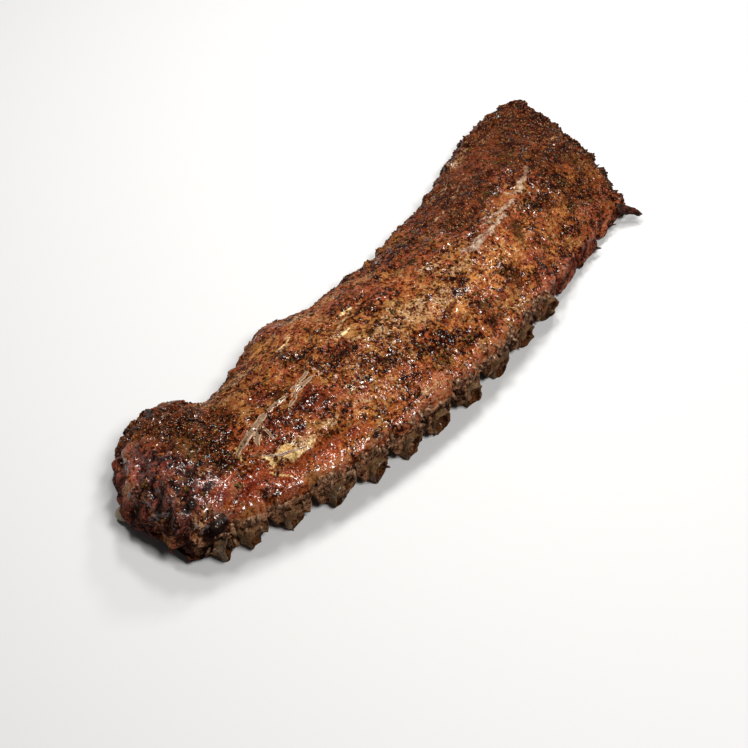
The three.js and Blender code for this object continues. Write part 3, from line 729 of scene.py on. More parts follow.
# The looks over the plain crust, from the first laid down to the last: the mark's name, its darker and its
# lighter colour, how strong it is, and how much its edge is broken up.
LAYERS = [
    ("membrane", (0.12, 0.05, 0.025), (0.34, 0.19, 0.11), 1, 0.5),
    ("upper", (0.04, 0.007, 0.002), (0.18, 0.039, 0.013), 0.8, 1),
    ("glaze", (0.032, 0.006, 0.003), (0.25, 0.062, 0.038), 0.95, 0.7),
    ("rub", (0.017, 0.004, 0.001), (0.125, 0.028, 0.006), 0.9, 1),
    ("bare", (0.17, 0.021, 0.006), (0.33, 0.075, 0.021), 0.85, 1),
    ("rosy", (0.17, 0.036, 0.017), (0.35, 0.11, 0.052), 0.6, 1.5),
    ("muscle", (0.05, 0.006, 0.002), (0.23, 0.045, 0.015), 0.8, 1),
    ("tan", (0.14, 0.05, 0.015), (0.36, 0.155, 0.054), 0.55, 1.5),
    ("gold", (0.26, 0.085, 0.015), (0.48, 0.19, 0.05), 0.45, 1.5),
    ("pale", (0.2, 0.09, 0.034), (0.45, 0.28, 0.14), 0.55, 1.8),
    ("herb", (0.02, 0.011, 0.002), (0.1, 0.046, 0.011), 0.6, 1.8),
    ("fat", (0.5, 0.28, 0.09), (0.92, 0.7, 0.36), 0.92, 1.1),
    ("sinew", (0.22, 0.12, 0.07), (0.5, 0.39, 0.29), 0.7, 0.85),
    ("cut", (0.045, 0.015, 0.006), (0.46, 0.22, 0.115), 1, 0.6),
    ("bark", (0.02, 0.009, 0.004), (0.15, 0.07, 0.028), 1, 0.8),
    ("red", (0.06, 0.004, 0.002), (0.17, 0.016, 0.008), 0.65, 1.2),
    ("char", (0.005, 0.002, 0.002), (0.028, 0.01, 0.006), 0.92, 1.4),
]

WANDER_SIZE = 7
WANDER = 2.2
HIGHEST = 46.5


def marked(name, place):
    """How far inside its marks and streaks each place is, from 0 outside them to 1 within."""
    share = np.zeros(len(place))
    for k, v, half_length, half_breadth, *turn in MARKS.get(name, []):
        offset = place - plan_point(np.array([float(k)]), np.array([float(v)]))
        angle = math.radians(sum(turn))
        c, s = math.cos(angle), math.sin(angle)
        along = (offset[:, 0] * c + offset[:, 1] * s) / half_length
        across = (offset[:, 1] * c - offset[:, 0] * s) / half_breadth
        share = np.maximum(share, 1 - smoothstep(np.hypot(along, across), 0.25, 1.5))
    for half_breadth, line in STREAKS.get(name, []):
        away = distance_to_line(place, line_in_plan(line)) / half_breadth
        share = np.maximum(share, 1 - smoothstep(away, 0.5, 1.4))
    return share


def looks_of_slab(points, k, v, side, upward):
    """Masks for the looks of the slab. Upward is 1 where the slab faces up and 0 on its walls."""
    wander = np.stack([grain(points, WANDER_SIZE, 11), grain(points, WANDER_SIZE, 23)], -1)
    place = points[:, :2] + WANDER * wander
    width, height = across_at(k)[2], points[:, 2]
    from_chine, from_tip = v * width, (1 - v) * width
    top = smoothstep(side, -1, 1)
    masks = {name: top * marked(name, place) for name, *_ in LAYERS}

    def widen(name, share):
        masks[name] = np.maximum(masks[name], share)

    # The crust of the thick end, glazed over the first two ribs and rubbed from there on.
    drift = 0.16 * grain(points, 6, 31) + 0.1 * grain(points, 2.5, 37)
    thick = smoothstep(np.interp(v, *np.transpose(THICK_EDGE)) + drift - k, -0.1, 0.12)
    inner_end = 1 - smoothstep(k, 1.9, 2.6)
    widen("glaze", thick * np.maximum(inner_end, 0.5 * (1 - smoothstep(v, 0.2, 0.35))))
    widen("rub", thick * (1 - inner_end) * smoothstep(v, 0.2, 0.36))

    # The darker muscle past the far tendon, along the tip edge and over the tail. This darkening is partly
    # painted shade on the tip side, where the top slopes away from the main lamp.
    outer = smoothstep(v + 0.3 * drift, 0.46, 0.6) * smoothstep(k, 9.2, 10.6)
    tail = smoothstep(k + drift, 12.8, 13.8) * smoothstep(v, 0.2, 0.5)
    tip_edge, far_end = 0.5 * smoothstep(v, 0.85, 0.97), 0.45 * smoothstep(k, 12, 13.5)
    masks["upper"] = np.maximum.reduce([outer, tail, tip_edge, far_end]) * top
    widen("rub", 0.4 * smoothstep(k + drift, 12, 13.4) * top)

    # The cut face between the rib heads, its rosy rim, and the closed chine edge of the thin end.
    face = 1 - smoothstep(from_chine, 2.5, 8)
    rim = (1 - smoothstep(from_chine, 5, 11)) * smoothstep(height, 18, 25)
    low = 1 - smoothstep(height + 3 * grain(points, 5, 3), 13, 22)
    ribs_show = 1 - smoothstep(k + 0.3 * grain(points, 9, 17), 10.2, 11.4)
    cut_height = 1 - smoothstep(height + 1.5 * grain(points, 4, 5), 22, 26)
    masks["cut"] = face * cut_height * (k > 0.2) * ribs_show
    masks["bark"] = (1 - smoothstep(from_chine, 6, 13)) * low * (0.2 + 0.3 * ribness(k)) * ribs_show
    closed = face * (1 - ribs_show)
    widen("rosy", 0.6 * rim * (1 - thick))
    widen("rosy", closed)
    widen("rub", closed * (1 - smoothstep(height, 2, 9)))
    masks["membrane"] = (1 - top) * smoothstep(from_chine, 4, 14)

    # The burnt edges of the far end and of the tip side.
    burnt_edge = np.maximum(smoothstep(k, 14.75, 14.97), 1 - smoothstep(from_tip, 1, 5))
    widen("char", 0.55 * burnt_edge * (0.5 + 0.8 * grain(points, 5, 43)))

    # Where the slab is rough, and where it is wet.
    near_end, tip_side = 0.6 - 0.6 * smoothstep(k, 0.1, 0.5), 0.8 - 0.8 * smoothstep(from_tip, 3, 14)
    masks["edge"] = np.maximum.reduce([smoothstep(k, 14.5, 14.9), near_end, tip_side])
    recess = smoothstep(height, 10, 14) * (1 - smoothstep(height, 18, 23))
    masks["recess"] = face * recess * ribs_show * (k > 0.6)
    wet = 0.36 + 0.38 * thick + 0.5 * rim + 0.1 * masks["muscle"] + 0.2 * grain(points, 10, 51)
    wet = wet - 0.3 * masks["char"]
    wet += (0.12 * (1 - smoothstep(v, 0.15, 0.5)) + 0.12 * smoothstep(k, 8, 10)
            - 0.25 * masks["herb"] - 0.22 * masks["rub"])
    masks["wet"] = np.clip(wet, 0, 1) * smoothstep(upward, 0.3, 0.7)
    masks["thick"] = thick * top
    masks["face"] = face * low

    # How light the crust is, and how far it leans to rose or to olive.
    tone = 0.44 + 0.12 * grain(points, 30, 71) + 0.18 * grain(points, 13, 73) + 0.14 * grain(points, 5, 75)
    # Painted light: away from the thick end, the tone is raised along the rounded rim above the cut face,
    # which faces the main lamp. The rosy colour there is the meat's own.
    tone += 0.1 * rim * (1 - thick) - 0.04 * smoothstep(k, 9, 11) - 0.08 * smoothstep(k, 12, 14)
    masks["tone"] = tone - 0.06 * thick + 0.12 * marked("light", place) - 0.16 * marked("dark", place)
    hue = 0.5 + 0.5 * grain(points, 22, 79) + 0.5 * grain(points, 9, 83)
    masks["hue"] = hue + 0.25 * grain(points, 4, 87)
    return masks


def relief_of_slab(points, k, v, side, masks):
    """How far each point of the slab stands out from its smooth form."""
    top = smoothstep(side, -1, 1)
    width = across_at(k)[2]
    fibres = np.column_stack([RIB_PITCH * k / FIBRE_LENGTH, v * width / FIBRE_BREADTH, np.zeros_like(k)])
    rise = 0.8 * grain(points, 8, 1) + 0.4 * grain(points, 3.4, 2) + 0.5 * grain(fibres, 1, 19)
    crags = 3 * np.abs(grain(points, 10, 4)) - 1 + 1.3 * grain(points, 5, 5) + 0.6 * grain(points, 2.4, 45)
    rise += masks["thick"] * crags
    crumbly = 0.3 * grain(points, 2.2, 6) + 0.3 * np.abs(grain(points, 4, 7))
    rise += (masks["rub"] + 0.5 * masks["upper"]) * crumbly
    rise *= 0.35 + 0.65 * top
    torn = 1.2 * grain(points, 6, 8) - 0.8 * np.abs(grain(points, 4.5, 9)) + 0.5 * grain(points, 2.3, 10)
    rise += masks["face"] * torn
    rise -= RECESS_DEPTH * masks["recess"]
    burnt = 2 * grain(points, 9, 13) + 1.7 * grain(points, 4.6, 14) + 0.8 * grain(points, 2.2, 15)
    rise += masks["edge"] * burnt
    rise += 0.9 * masks["sinew"] * np.abs(grain(points, 3, 12)) - 0.3 * masks["char"]
    for knob_k, knob_v, height, radius in KNOBS:
        centre = plan_point(np.array([float(knob_k)]), np.array([float(knob_v)]))
        away = np.linalg.norm(points[:, :2] - centre, axis=1) / radius
        rise += top * height * np.exp(-KNOB_SHARPNESS * away**4)
    return rise


def bits_of_crust(tree, size):
    """Uneven bits of crust about size millimetres across, each with two values of its own from 0 to 1."""
    place = add(tree, "TexCoord").outputs["Object"]
    scale, reach = 1 / (size * MM), (size * MM,) * 3
    wander = add(tree, "TexNoise", {"Vector": place, "Scale": scale, "Detail": 3.0}).outputs["Color"]
    place = add(tree, "VectorMath", {0: wander, 1: reach, 2: place}, operation="MULTIPLY_ADD").outputs[0]
    each = add(tree, "TexVoronoi", {"Vector": place, "Scale": scale}).outputs["Color"]
    values = add(tree, "SeparateColor", {"Color": each}).outputs
    return values["Red"], values["Green"]


def crust_colour(tree, tone, hue):
    """The colour of plain crust, from near black to tan by its tone and from rose to olive by its hue."""
    colour = over(tree, between(tree, tone, 0.12, 0.36), CRUST_DARK, CRUST_BROWN)
    colour = over(tree, between(tree, tone, 0.32, 0.58), colour, CRUST_WARM)
    olive = times(tree, between(tree, hue, 0.52, 0.85, 0, 0.85), between(tree, tone, 0.3, 0.6))
    colour = over(tree, olive, colour, CRUST_OLIVE)
    rose = times(tree, between(tree, hue, 0.45, 0.15, 0, 0.85), between(tree, tone, 0.3, 0.5))
    colour = over(tree, rose, colour, CRUST_ROSE)
    return over(tree, between(tree, tone, 0.6, 0.95, 0, 0.8), colour, CRUST_TAN)


def wet_film(tree, surface):
    """The clear film of melted fat and juice on the crust, in pools and beads."""
    wet = mask_of(tree, "wet")
    pools = plus(tree, wet, times(tree, swing(tree, texture(tree, "Noise", 4, Detail=2.0)), 2.4))
    cells = texture(tree, "Voronoi", 1.8)
    beads = times(tree, between(tree, cells, 0.42, 0.2), between(tree, wet, 0, 0.6))
    film = bumped(tree, texture(tree, "Noise", 3.4, Detail=1.0, Roughness=0.4), 1.5, 1.0)
    set_inputs(tree, surface, {
        "Coat Weight": maths(tree, "MAXIMUM", between(tree, pools, 0.5, 0.95), beads),
        "Coat Roughness": 0.11,
        "Coat IOR": 1.7,
        "Coat Normal": bumped(tree, between(tree, cells, 0.5, 0), 0.22, 1.0, film),
    })


def meat_finish():
    """The mottled crust, the looks of LAYERS over it, a roast stain over its darker parts, which also
    deepens the painted shade in the relief's hollows, black specks, and the wet film.
    """
    material, tree, surface = finish_of("roast meat")
    middle = texture(tree, "Noise", 3.6, Detail=4.0, Roughness=0.6)
    fine = texture(tree, "Noise", 1.4, Detail=4.0, Roughness=0.62)
    cells = texture(tree, "Voronoi", 1.4)
    broken = plus(tree, times(tree, middle, 0.5), times(tree, fine, 0.5))
    smooth = plus(tree, plus(tree, mask_of(tree, "bare"), mask_of(tree, "fat")), mask_of(tree, "sinew"))
    crusted = between(tree, smooth, 0, 1, 1, 0.3)
    mottle = plus(tree, times(tree, middle, 1.2), times(tree, fine, 1.2))
    tone = plus(tree, mask_of(tree, "tone"), maths(tree, "SUBTRACT", mottle, 1.2))
    hue = mask_of(tree, "hue")
    for size, tone_share, hue_share in ((1.5, 0.29, 0.55), (3.6, 0.38, 0.75)):
        first, second = (times(tree, swing(tree, value), crusted) for value in bits_of_crust(tree, size))
        tone = plus(tree, tone, times(tree, first, tone_share))
        hue = plus(tree, hue, times(tree, second, hue_share))
    colour = crust_colour(tree, tone, hue)
    light = between(tree, tone, 0.2, 0.85)
    for name, dark, bright, strength, raggedness in LAYERS:
        mask = times(tree, mask_of(tree, name), strength)
        edge = times(tree, swing(tree, broken), raggedness * 3)
        share = times(tree, between(tree, plus(tree, mask, edge), 0.15, 0.9), between(tree, mask, 0.0, 0.15))
        colour = over(tree, share, colour, over(tree, light, dark, bright))
    # The roast stain darkens the darker crust further, so it also deepens the painted shade in the relief's
    # hollows.
    thin, low = between(tree, fine, 0.45, 0.35, 0, 0.8), between(tree, tone, 0.42, 0.05, 0, 0.9)
    roasted = times(tree, maths(tree, "MAXIMUM", thin, low), crusted)
    colour = over(tree, roasted, colour, ROAST_STAIN, "MULTIPLY")
    sprinkle = between(tree, texture(tree, "Noise", 4, Detail=2.0), 0.5, 0.62)
    specks = times(tree, between(tree, cells, 0.16, 0.36, 0.45, 0.0), crusted)
    colour = over(tree, times(tree, specks, sprinkle), colour, CRUST_BLACK)
    moist = times(tree, mask_of(tree, "glaze"), between(tree, mask_of(tree, "wet"), 0.1, 0.6))
    sheen = times(tree, moist, between(tree, middle, 0.4, 0.6, 0.02, 0.16))
    relief = bumped(tree, cells, 0.7, 0.5, bumped(tree, middle, 1.6, 0.9))
    set_inputs(tree, surface, {
        "Base Color": colour,
        "Roughness": 0.42,
        "Specular IOR Level": plus(tree, sheen, 0.02),
        "Normal": bumped(tree, fine, 0.8, 0.7, relief),
    })
    wet_film(tree, surface)
    return material


slab, slab_faces, slab_k, slab_v, slab_side = slab_of_meat()
slab_outward = normals_of(slab, slab_faces)
slab_looks = looks_of_slab(slab, slab_k, slab_v, slab_side, slab_outward[:, 2])
slab_rise = relief_of_slab(slab, slab_k, slab_v, slab_side, slab_looks)
# Painted shade and light: the tone is lowered in the relief's hollows and raised on its lumps, most on the
# thick end.
slab_looks["tone"] += (0.02 + 0.07 * slab_looks["thick"]) * np.clip(slab_rise, -2, 2)
slab = slab + slab_outward * slab_rise[:, None]
slab[:, 2] = np.clip(slab[:, 2], 0, HIGHEST)
MEAT = meat_finish()
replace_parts(piece_from("meat_slab", slab, slab_faces, MEAT, "roast_meat", **slab_looks), "meat")

# The finished top as a grid, which everything on the meat is laid on.
stations = len(slab_k[slab_side > 0]) // TOP_ROWS


def on_grid(values):
    """The values at the slab's top points, by station and by row, without the end faces."""
    grid = values[:stations * TOP_ROWS].reshape(stations, TOP_ROWS, *values.shape[1:])
    return grid[END_STATIONS - 1:1 - END_STATIONS]


top_points, top_outward = on_grid(slab), on_grid(normals_of(slab, slab_faces))
top_k, top_v = on_grid(slab_k)[:, 0], slab_v[:TOP_ROWS]


def read_grid(grid, i, j):
    """Values of a grid between its points, at fractional rows i and columns j."""
    a, b = np.minimum(i.astype(int), len(grid) - 2), np.minimum(j.astype(int), len(grid[0]) - 2)
    s, t = i - a, j - b
    if grid.ndim == 3:
        s, t = s[:, None], t[:, None]
    near = grid[a, b] * (1 - t) + grid[a, b + 1] * t
    return near * (1 - s) + (grid[a + 1, b] * (1 - t) + grid[a + 1, b + 1] * t) * s


def on_top(k, v):
    """Points on the finished top at places (k, v), and the outward directions there."""
    i, j = np.interp(k, top_k, np.arange(len(top_k))), np.interp(v, top_v, np.arange(len(top_v)))
    outward = read_grid(top_outward, i, j)
    return read_grid(top_points, i, j), outward / np.linalg.norm(outward, axis=1)[:, None]


# ---- The strips of sinew ----
# Flat, tough tendons that run along the rack between the muscles. Roasting leaves them pale, shiny and a
# little see-through, and they stand out from the meat that has shrunk round them.

# Each strip is a line of places (k, v) with half its width and its thickness there, in millimetres.
SINEW_STRIPS = [
    [(2.83, 0.31, 0.6, 0.3), (3.0, 0.33, 1.5, 0.5), (3.3, 0.37, 2.3, 0.6), (3.5, 0.41, 2.3, 0.6),
     (3.8, 0.465, 1.9, 0.6), (3.95, 0.49, 0.6, 0.3)],
    [(4.0, 0.485, 0.6, 0.3), (4.1, 0.505, 1.9, 0.6), (4.25, 0.51, 2.3, 0.6), (4.45, 0.51, 1.3, 0.5),
     (4.55, 0.51, 0.5, 0.3)],
    [(4.65, 0.515, 0.4, 0.3), (4.85, 0.515, 1, 0.4), (5.2, 0.52, 1.3, 0.5), (5.35, 0.555, 0.9, 0.4),
     (5.9, 0.57, 0.4, 0.3)],
    [(3.26, 0.29, 0.5, 0.3), (3.36, 0.335, 2.2, 0.5), (3.5, 0.375, 1.6, 0.5), (3.68, 0.43, 0.5, 0.3)],
    [(3.6, 0.3, 0.4, 0.3), (3.62, 0.34, 0.9, 0.5), (3.67, 0.4, 0.8, 0.5), (3.74, 0.44, 0.4, 0.3)],
    [(4.25, 0.42, 0.5, 0.3), (4.34, 0.44, 0.9, 0.5), (4.5, 0.46, 1.7, 0.7), (4.75, 0.49, 1.9, 0.7),
     (5.0, 0.487, 1.5, 0.6), (5.27, 0.48, 0.4, 0.3)],
    [(2.95, 0.27, 0.3, 0.3), (3.1, 0.235, 0.8, 0.5), (3.3, 0.205, 1.6, 0.7), (3.6, 0.195, 1.2, 0.6),
     (4.0, 0.185, 0.4, 0.3)],
]
SINEW_STEP = 0.8
SINEW_COLUMNS = 13
SINEW_SUNK = 0.15
SINEW_LINE_POINTS = 400
SINEW_DULL = (0.2, 0.12, 0.07)
SINEW_PALE = (0.42, 0.28, 0.17)


def sinew_strip(line, level):
    """A flat strip with raised rims along a line on the top, and how near its middle each point is."""
    line = np.array(line)
    keys = np.arange(len(line))
    fine = np.linspace(0, len(line) - 1, SINEW_LINE_POINTS)
    spine, _ = on_top(smooth_through(keys, line[:, 0], fine), smooth_through(keys, line[:, 1], fine))
    steps = max(8, int(np.linalg.norm(np.diff(spine, axis=0), axis=1).sum() / SINEW_STEP))
    at = even_shares(spine, fine, steps)
    k, v, half, thickness = (smooth_through(keys, line[:, c], at) for c in range(4))
    spine, _ = on_top(k, v)
    forward = np.gradient(spine, axis=0)
    forward /= np.linalg.norm(forward, axis=1)[:, None]
    half = half * (1 + 0.35 * grain(spine, 3, level))
    points, middle = [], []
    across = np.linspace(-1, 1, SINEW_COLUMNS)
    for share, sign in [(s, 1) for s in across] + [(s, -1) for s in across[-2:0:-1]]:
        chine, tip, width = across_at(k)
        _, up = on_top(k, v)
        side = np.cross(up, forward)
        flat = spine + side * (half * share)[:, None]
        near_v = v + (side[:, :2] * (tip - chine)).sum(1) / width**2 * half * share
        near_k = k + (side[:, 0] * half * share) / RIB_PITCH
        ground, outward = on_top(near_k, near_v)
        section = np.sqrt(1 - 0.98 * share**2) * (0.5 + 0.5 * smoothstep(abs(share), 0.2, 0.7))
        height = sign * thickness * section * (0.75 + 0.35 * grain(flat, 2.2, level + 5)) - SINEW_SUNK
        points.append(ground + outward * height[:, None])
        middle.append(np.full(len(k), 1 - abs(share)))
    sides = len(points)
    points = np.stack(points, 1).reshape(-1, 3)
    return points, tube_faces(steps, sides, flipped=True), np.stack(middle, 1).ravel()


def gathered(parts):
    """One mesh from many: their points, their faces, and a value at each point."""
    points, faces, values, count = [], [], [], 0
    for part_points, part_faces, part_values in parts:
        points.append(part_points)
        faces += [tuple(index + count for index in face) for face in part_faces]
        values.append(part_values)
        count += len(part_points)
    return np.concatenate(points), faces, np.concatenate(values)


def sinew_finish():
    """Pale sinew with dull, browned rims under a thin, clear film."""
    material, tree, surface = finish_of("sinew")
    cloud = texture(tree, "Noise", 3, Detail=4.0)
    fine = texture(tree, "Noise", 0.9, Detail=3.0)
    middle = mask_of(tree, "middle")
    pale = plus(tree, between(tree, middle, 0.75, 0.35, -0.25, 0.25), cloud)
    colour = over(tree, between(tree, pale, 0.4, 0.75), SINEW_DULL, SINEW_PALE)
    outer = plus(tree, between(tree, middle, 0.4, 0.0, -0.3, 0.4), fine)
    colour = over(tree, between(tree, outer, 0.45, 0.65), colour, CRUST_WARM)
    set_inputs(tree, surface, {
        "Base Color": over(tree, between(tree, fine, 0.56, 0.66, 0, 0.8), colour, CRUST_DARK),
        "Roughness": 0.4,
        "Specular IOR Level": 0.1,
        "Coat Weight": 0.5,
        "Coat Roughness": 0.12,
        "Subsurface Weight": 0.2,
        "Subsurface Scale": 1.2 * MM,
        "Normal": bumped(tree, fine, 0.5, 0.6, bumped(tree, cloud, 0.8, 0.5)),
    })
    return material


points, faces, middle = gathered([sinew_strip(line, 3.0 * i) for i, line in enumerate(SINEW_STRIPS)])
piece_from("sinew_strips", points, faces, sinew_finish(), "roast_meat", middle=middle)

# ---- The burnt scraps ----
# Shreds of meat and skin that stuck out from the edges of the rack and burnt black. The longest is curled
# and hangs from the far end.

# Each is a root in millimetres, a heading in degrees, a length, a width, a curl upwards, a curl sideways
# and how pointed it is.
LONG_SCRAPS = [
    ((193, -44, 9), -36, 15, 10, -2, -4, 0.3), ((150, -53, 5), -40, 6, 4, 1, -1, 0.5),
    ((-214, -40, 12), 200, 6, 4, -1, 1, 0.3), ((-183, 37, 14), 120, 3, 6, 1, 1, 0.2),
    ((-88, -81, 5), -80, 4, 3, 1.5, 1, 0.45), ((176, -47, 6), -50, 5, 2.4, 1, 1, 0.6),
]
SMALL_SCRAPS = 230
SCRAP_SEED = 411
SCRAP_RINGS = 9
SCRAP_SIDES = 8
SCRAP_DROOP = 0.14
SCRAP_TWIST = 1.4
SCRAP_FLATNESS = 0.55
SCRAP_TIP_HALF_WIDTH = 0.12
SCRAP_SHAKE = 0.16
SCRAP_SHAKE_MOST = 0.9
SCRAP_BLACK = (0.012, 0.005, 0.004)
SCRAP_BROWN = (0.07, 0.021, 0.012)


def scrap(root, heading, length, width, rise, bend, point, level):
    """A shred from its root outwards, blunt where point is near 0, and how far along each point of it is."""
    angle = math.radians(heading)
    forward = np.array([math.cos(angle), math.sin(angle), 0])
    side = np.array([-math.sin(angle), math.cos(angle), 0])
    turns = np.linspace(0, 2 * np.pi, SCRAP_SIDES, endpoint=False)
    points = []
    for t in np.linspace(0, 1, SCRAP_RINGS):
        along = -width / 2 + (length + width / 2) * t
        middle = np.array(root) + forward * along + side * bend * t**2
        middle = middle + np.array([0, 0, rise * t**2 - SCRAP_DROOP * along])
        half = width / 2 * (1 - t) ** point + SCRAP_TIP_HALF_WIDTH
        twist = turns + SCRAP_TWIST * t
        across, up = np.outer(np.cos(twist), side), np.outer(np.sin(twist), [0, 0, 1])
        points.append(middle + across * half + up * half * SCRAP_FLATNESS)
    points = np.concatenate(points)
    shake = np.stack([grain(points, 2.2, level + axis * 7) for axis in range(3)], -1)
    points = points + shake * min(SCRAP_SHAKE * width, SCRAP_SHAKE_MOST)
    points[:, 2] = np.maximum(points[:, 2], 0.1)
    shares = np.repeat(np.linspace(0, 1, SCRAP_RINGS), SCRAP_SIDES)
    return points, tube_faces(SCRAP_RINGS, SCRAP_SIDES), shares


def small_scraps():
    """Short shreds along the far end, the tip edge and the lower chine edge, thickest at the far end."""
    rng = np.random.default_rng(SCRAP_SEED)
    shreds = []
    for i in range(SMALL_SCRAPS):
        place = rng.random()
        if place < 0.4:
            k, v, heading = 14.97, rng.uniform(0.02, 0.99), rng.uniform(-35, 35)
        elif place < 0.72:
            k, v = FAR_END * rng.random() ** 0.6, rng.uniform(0.985, 0.998)
            heading = 90 + rng.uniform(-50, 50)
        elif place < 0.84:
            k, v, heading = 0.03, rng.uniform(0.1, 0.95), 180 + rng.uniform(-50, 50)
        else:
            k, v, heading = rng.uniform(LAST_OPEN_RIB, FAR_END), 0.004, -80 + rng.uniform(-45, 45)
        length = rng.uniform(0.6, 1.2) + (1.6 * rng.random() ** 3 if k > 12 else 0)
        (root,), _ = on_top(np.array([k]), np.array([v]))
        width, rise, bend = rng.uniform(1.2, 3), rng.uniform(-0.3, 1), rng.uniform(-0.6, 0.6)
        shreds.append(scrap(root, heading, length, width, rise, bend, rng.uniform(0.25, 0.6), 2.0 * i))
    return shreds


def scrap_finish():
    material, tree, surface = finish_of("burnt scrap")
    cloud = texture(tree, "Noise", 2.4, Detail=4.0)
    colour = over(tree, between(tree, cloud, 0.42, 0.66), SCRAP_BLACK, SCRAP_BROWN)
    set_inputs(tree, surface, {
        "Base Color": colour,
        "Roughness": 0.42,
        "Specular IOR Level": DRY_SHINE,
        "Coat Weight": 0.1,
        "Coat Roughness": 0.12,
        "Normal": bumped(tree, cloud, 0.9, 0.7),
    })
    return material


scraps = [scrap(*each, 5.0 * i) for i, each in enumerate(LONG_SCRAPS)] + small_scraps()
points, faces, toward_tip = gathered(scraps)
piece = piece_from("burnt_scraps", points, faces, scrap_finish(), "roast_meat", toward_tip=toward_tip)
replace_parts(piece, "meat")

# ---- The torn shreds ----
# Short rags of cooked meat and skin that the saw tore along the cut face, over and between the rib heads.
# They hang down over the bones, tan and wet at the root and dry and dark at the tip.

SHREDS = 150
SHRED_SEED = 733
SHRED_ROOT = (0.07, 0.028, 0.014)
SHRED_PALE = (0.44, 0.25, 0.145)
SHRED_TIP = (0.03, 0.016, 0.009)


def torn_shreds():
    """Shreds with their roots along the upper rim of the cut face."""
    rng = np.random.default_rng(SHRED_SEED)
    shreds = []
    for i in range(SHREDS):
        k, v = rng.uniform(0.5, LAST_OPEN_RIB), rng.uniform(0.002, 0.03)
        (root,), (outward,) = on_top(np.array([k]), np.array([v]))
        heading = math.degrees(math.atan2(outward[1], outward[0])) + rng.uniform(-60, 60)
        length, width = rng.uniform(1.5, 4), rng.uniform(1.5, 4)
        rise, bend = rng.uniform(-3.5, -0.5), rng.uniform(-1.5, 1.5)
        shreds.append(scrap(root, heading, length, width, rise, bend, rng.uniform(0.2, 0.5), 3.0 * i))
    return shreds


def shred_finish():
    material, tree, surface = finish_of("torn shred")
    cloud = texture(tree, "Noise", 2.6, Detail=5.0, Roughness=0.6)
    colour = over(tree, between(tree, cloud, 0.4, 0.64), SHRED_ROOT, SHRED_PALE)
    tip = plus(tree, mask_of(tree, "toward_tip"), swing(tree, cloud))
    set_inputs(tree, surface, {
        "Base Color": over(tree, between(tree, tip, 0.4, 1, 0, 0.8), colour, SHRED_TIP),
        "Roughness": 0.5,
        "Specular IOR Level": DRY_SHINE,
        "Coat Weight": between(tree, cloud, 0.5, 0.6, 0, 0.6),
        "Coat Roughness": 0.1,
        "Normal": bumped(tree, cloud, 1.2, 0.9),
    })
    return material


points, faces, toward_tip = gathered(torn_shreds())
piece_from("torn_shreds", points, faces, shred_finish(), "roast_meat", toward_tip=toward_tip)

# ---- The coarse flakes ----
# The coarsest bits of the rub, clumps of herb, spice and crust. They were patted onto the raw meat and have
# baked half into its top.

FLAKE_ROWS = 7
FLAKE_COLUMNS = 13
FLAKE_SIZE = (1.7, 2.6)
FLAKE_BREADTH = 0.7
FLAKE_FLATNESS = 0.34
FLAKE_LUMPS = 0.5
FLAKES_ALONG = (0.7, FAR_END - 0.5)
FLAKES_ACROSS = (0.1, 0.92)
FLAKE_SPREAD = 0.7
FLAKE_SEED = 20731
FLAKE_SHADE_SEED = 7
FLAKE_HERB = (0.1, 0.055, 0.014)


def random_source(seed):
    """A repeatable source of random numbers from 0 to 1."""
    state = seed
    while True:
        state = (state * 1664525 + 1013904223) % 2**32
        yield state / 2**32


def ball(levels):
    """The points and faces of a round ball of radius 1."""
    work = bmesh.new()
    bmesh.ops.create_icosphere(work, subdivisions=levels, radius=1)
    points = np.array([vertex.co[:] for vertex in work.verts])
    faces = np.array([[vertex.index for vertex in face.verts] for face in work.faces])
    work.free()
    return points, faces


def laid_on_top(k, v, shape, turn, tilt=0.0, lift=0.0):
    """Shapes, one list of points for each, laid on the top at places (k, v)."""
    at, outward = on_top(k, v)
    reference = np.cross(outward, np.array([0.0, 1.0, 0.0]))
    reference /= np.linalg.norm(reference, axis=1)[:, None]
    other = np.cross(outward, reference)
    c, s = np.cos(turn)[:, None], np.sin(turn)[:, None]
    along, across = reference * c + other * s, other * c - reference * s
    lean = np.broadcast_to(tilt, len(k))[:, None]
    c, s = np.cos(lean), np.sin(lean)
    along, outward = along * c + outward * s, outward * c - along * s
    axes = np.stack([along, across, outward], 1)
    raised = at + outward * np.broadcast_to(lift, len(k))[:, None]
    return raised[:, None] + np.einsum("nmi,nij->nmj", shape, axes)


def copies(points, faces, shades):
    """One mesh of many copies of a shape, and a shade for each copy."""
    count = points.shape[1]
    faces = (faces[None] + count * np.arange(len(points))[:, None, None]).reshape(-1, 3)
    return points.reshape(-1, 3), faces.tolist(), np.repeat(shades, count)


def coarse_flakes():
    """Lumpy, flat balls, spread evenly over the top with a little play."""
    draw = random_source(FLAKE_SEED)
    rows = []
    for column in range(FLAKE_COLUMNS):
        for row in range(FLAKE_ROWS):
            k = (column + 0.5 + FLAKE_SPREAD * (next(draw) - 0.5)) / FLAKE_COLUMNS
            v = (row + 0.5 + FLAKE_SPREAD * (next(draw) - 0.5)) / FLAKE_ROWS
            size = FLAKE_SIZE[0] + (FLAKE_SIZE[1] - FLAKE_SIZE[0]) * next(draw)
            rows.append((k, v, size, next(draw) * math.pi))
    k, v, size, turn = np.array(rows).T
    k = FLAKES_ALONG[0] + (FLAKES_ALONG[1] - FLAKES_ALONG[0]) * k
    v = FLAKES_ACROSS[0] + (FLAKES_ACROSS[1] - FLAKES_ACROSS[0]) * v
    shape, faces = ball(3)
    lump = np.stack([0.9 + FLAKE_LUMPS * grain(shape * 3, 1.8, 4.0 * i) for i in range(len(k))])
    shape = shape[None] * lump[:, :, None] * [1, FLAKE_BREADTH, FLAKE_FLATNESS] * size[:, None, None]
    shades = np.random.default_rng(FLAKE_SHADE_SEED).random(len(k))
    return copies(laid_on_top(k, v, shape, turn), faces, shades)


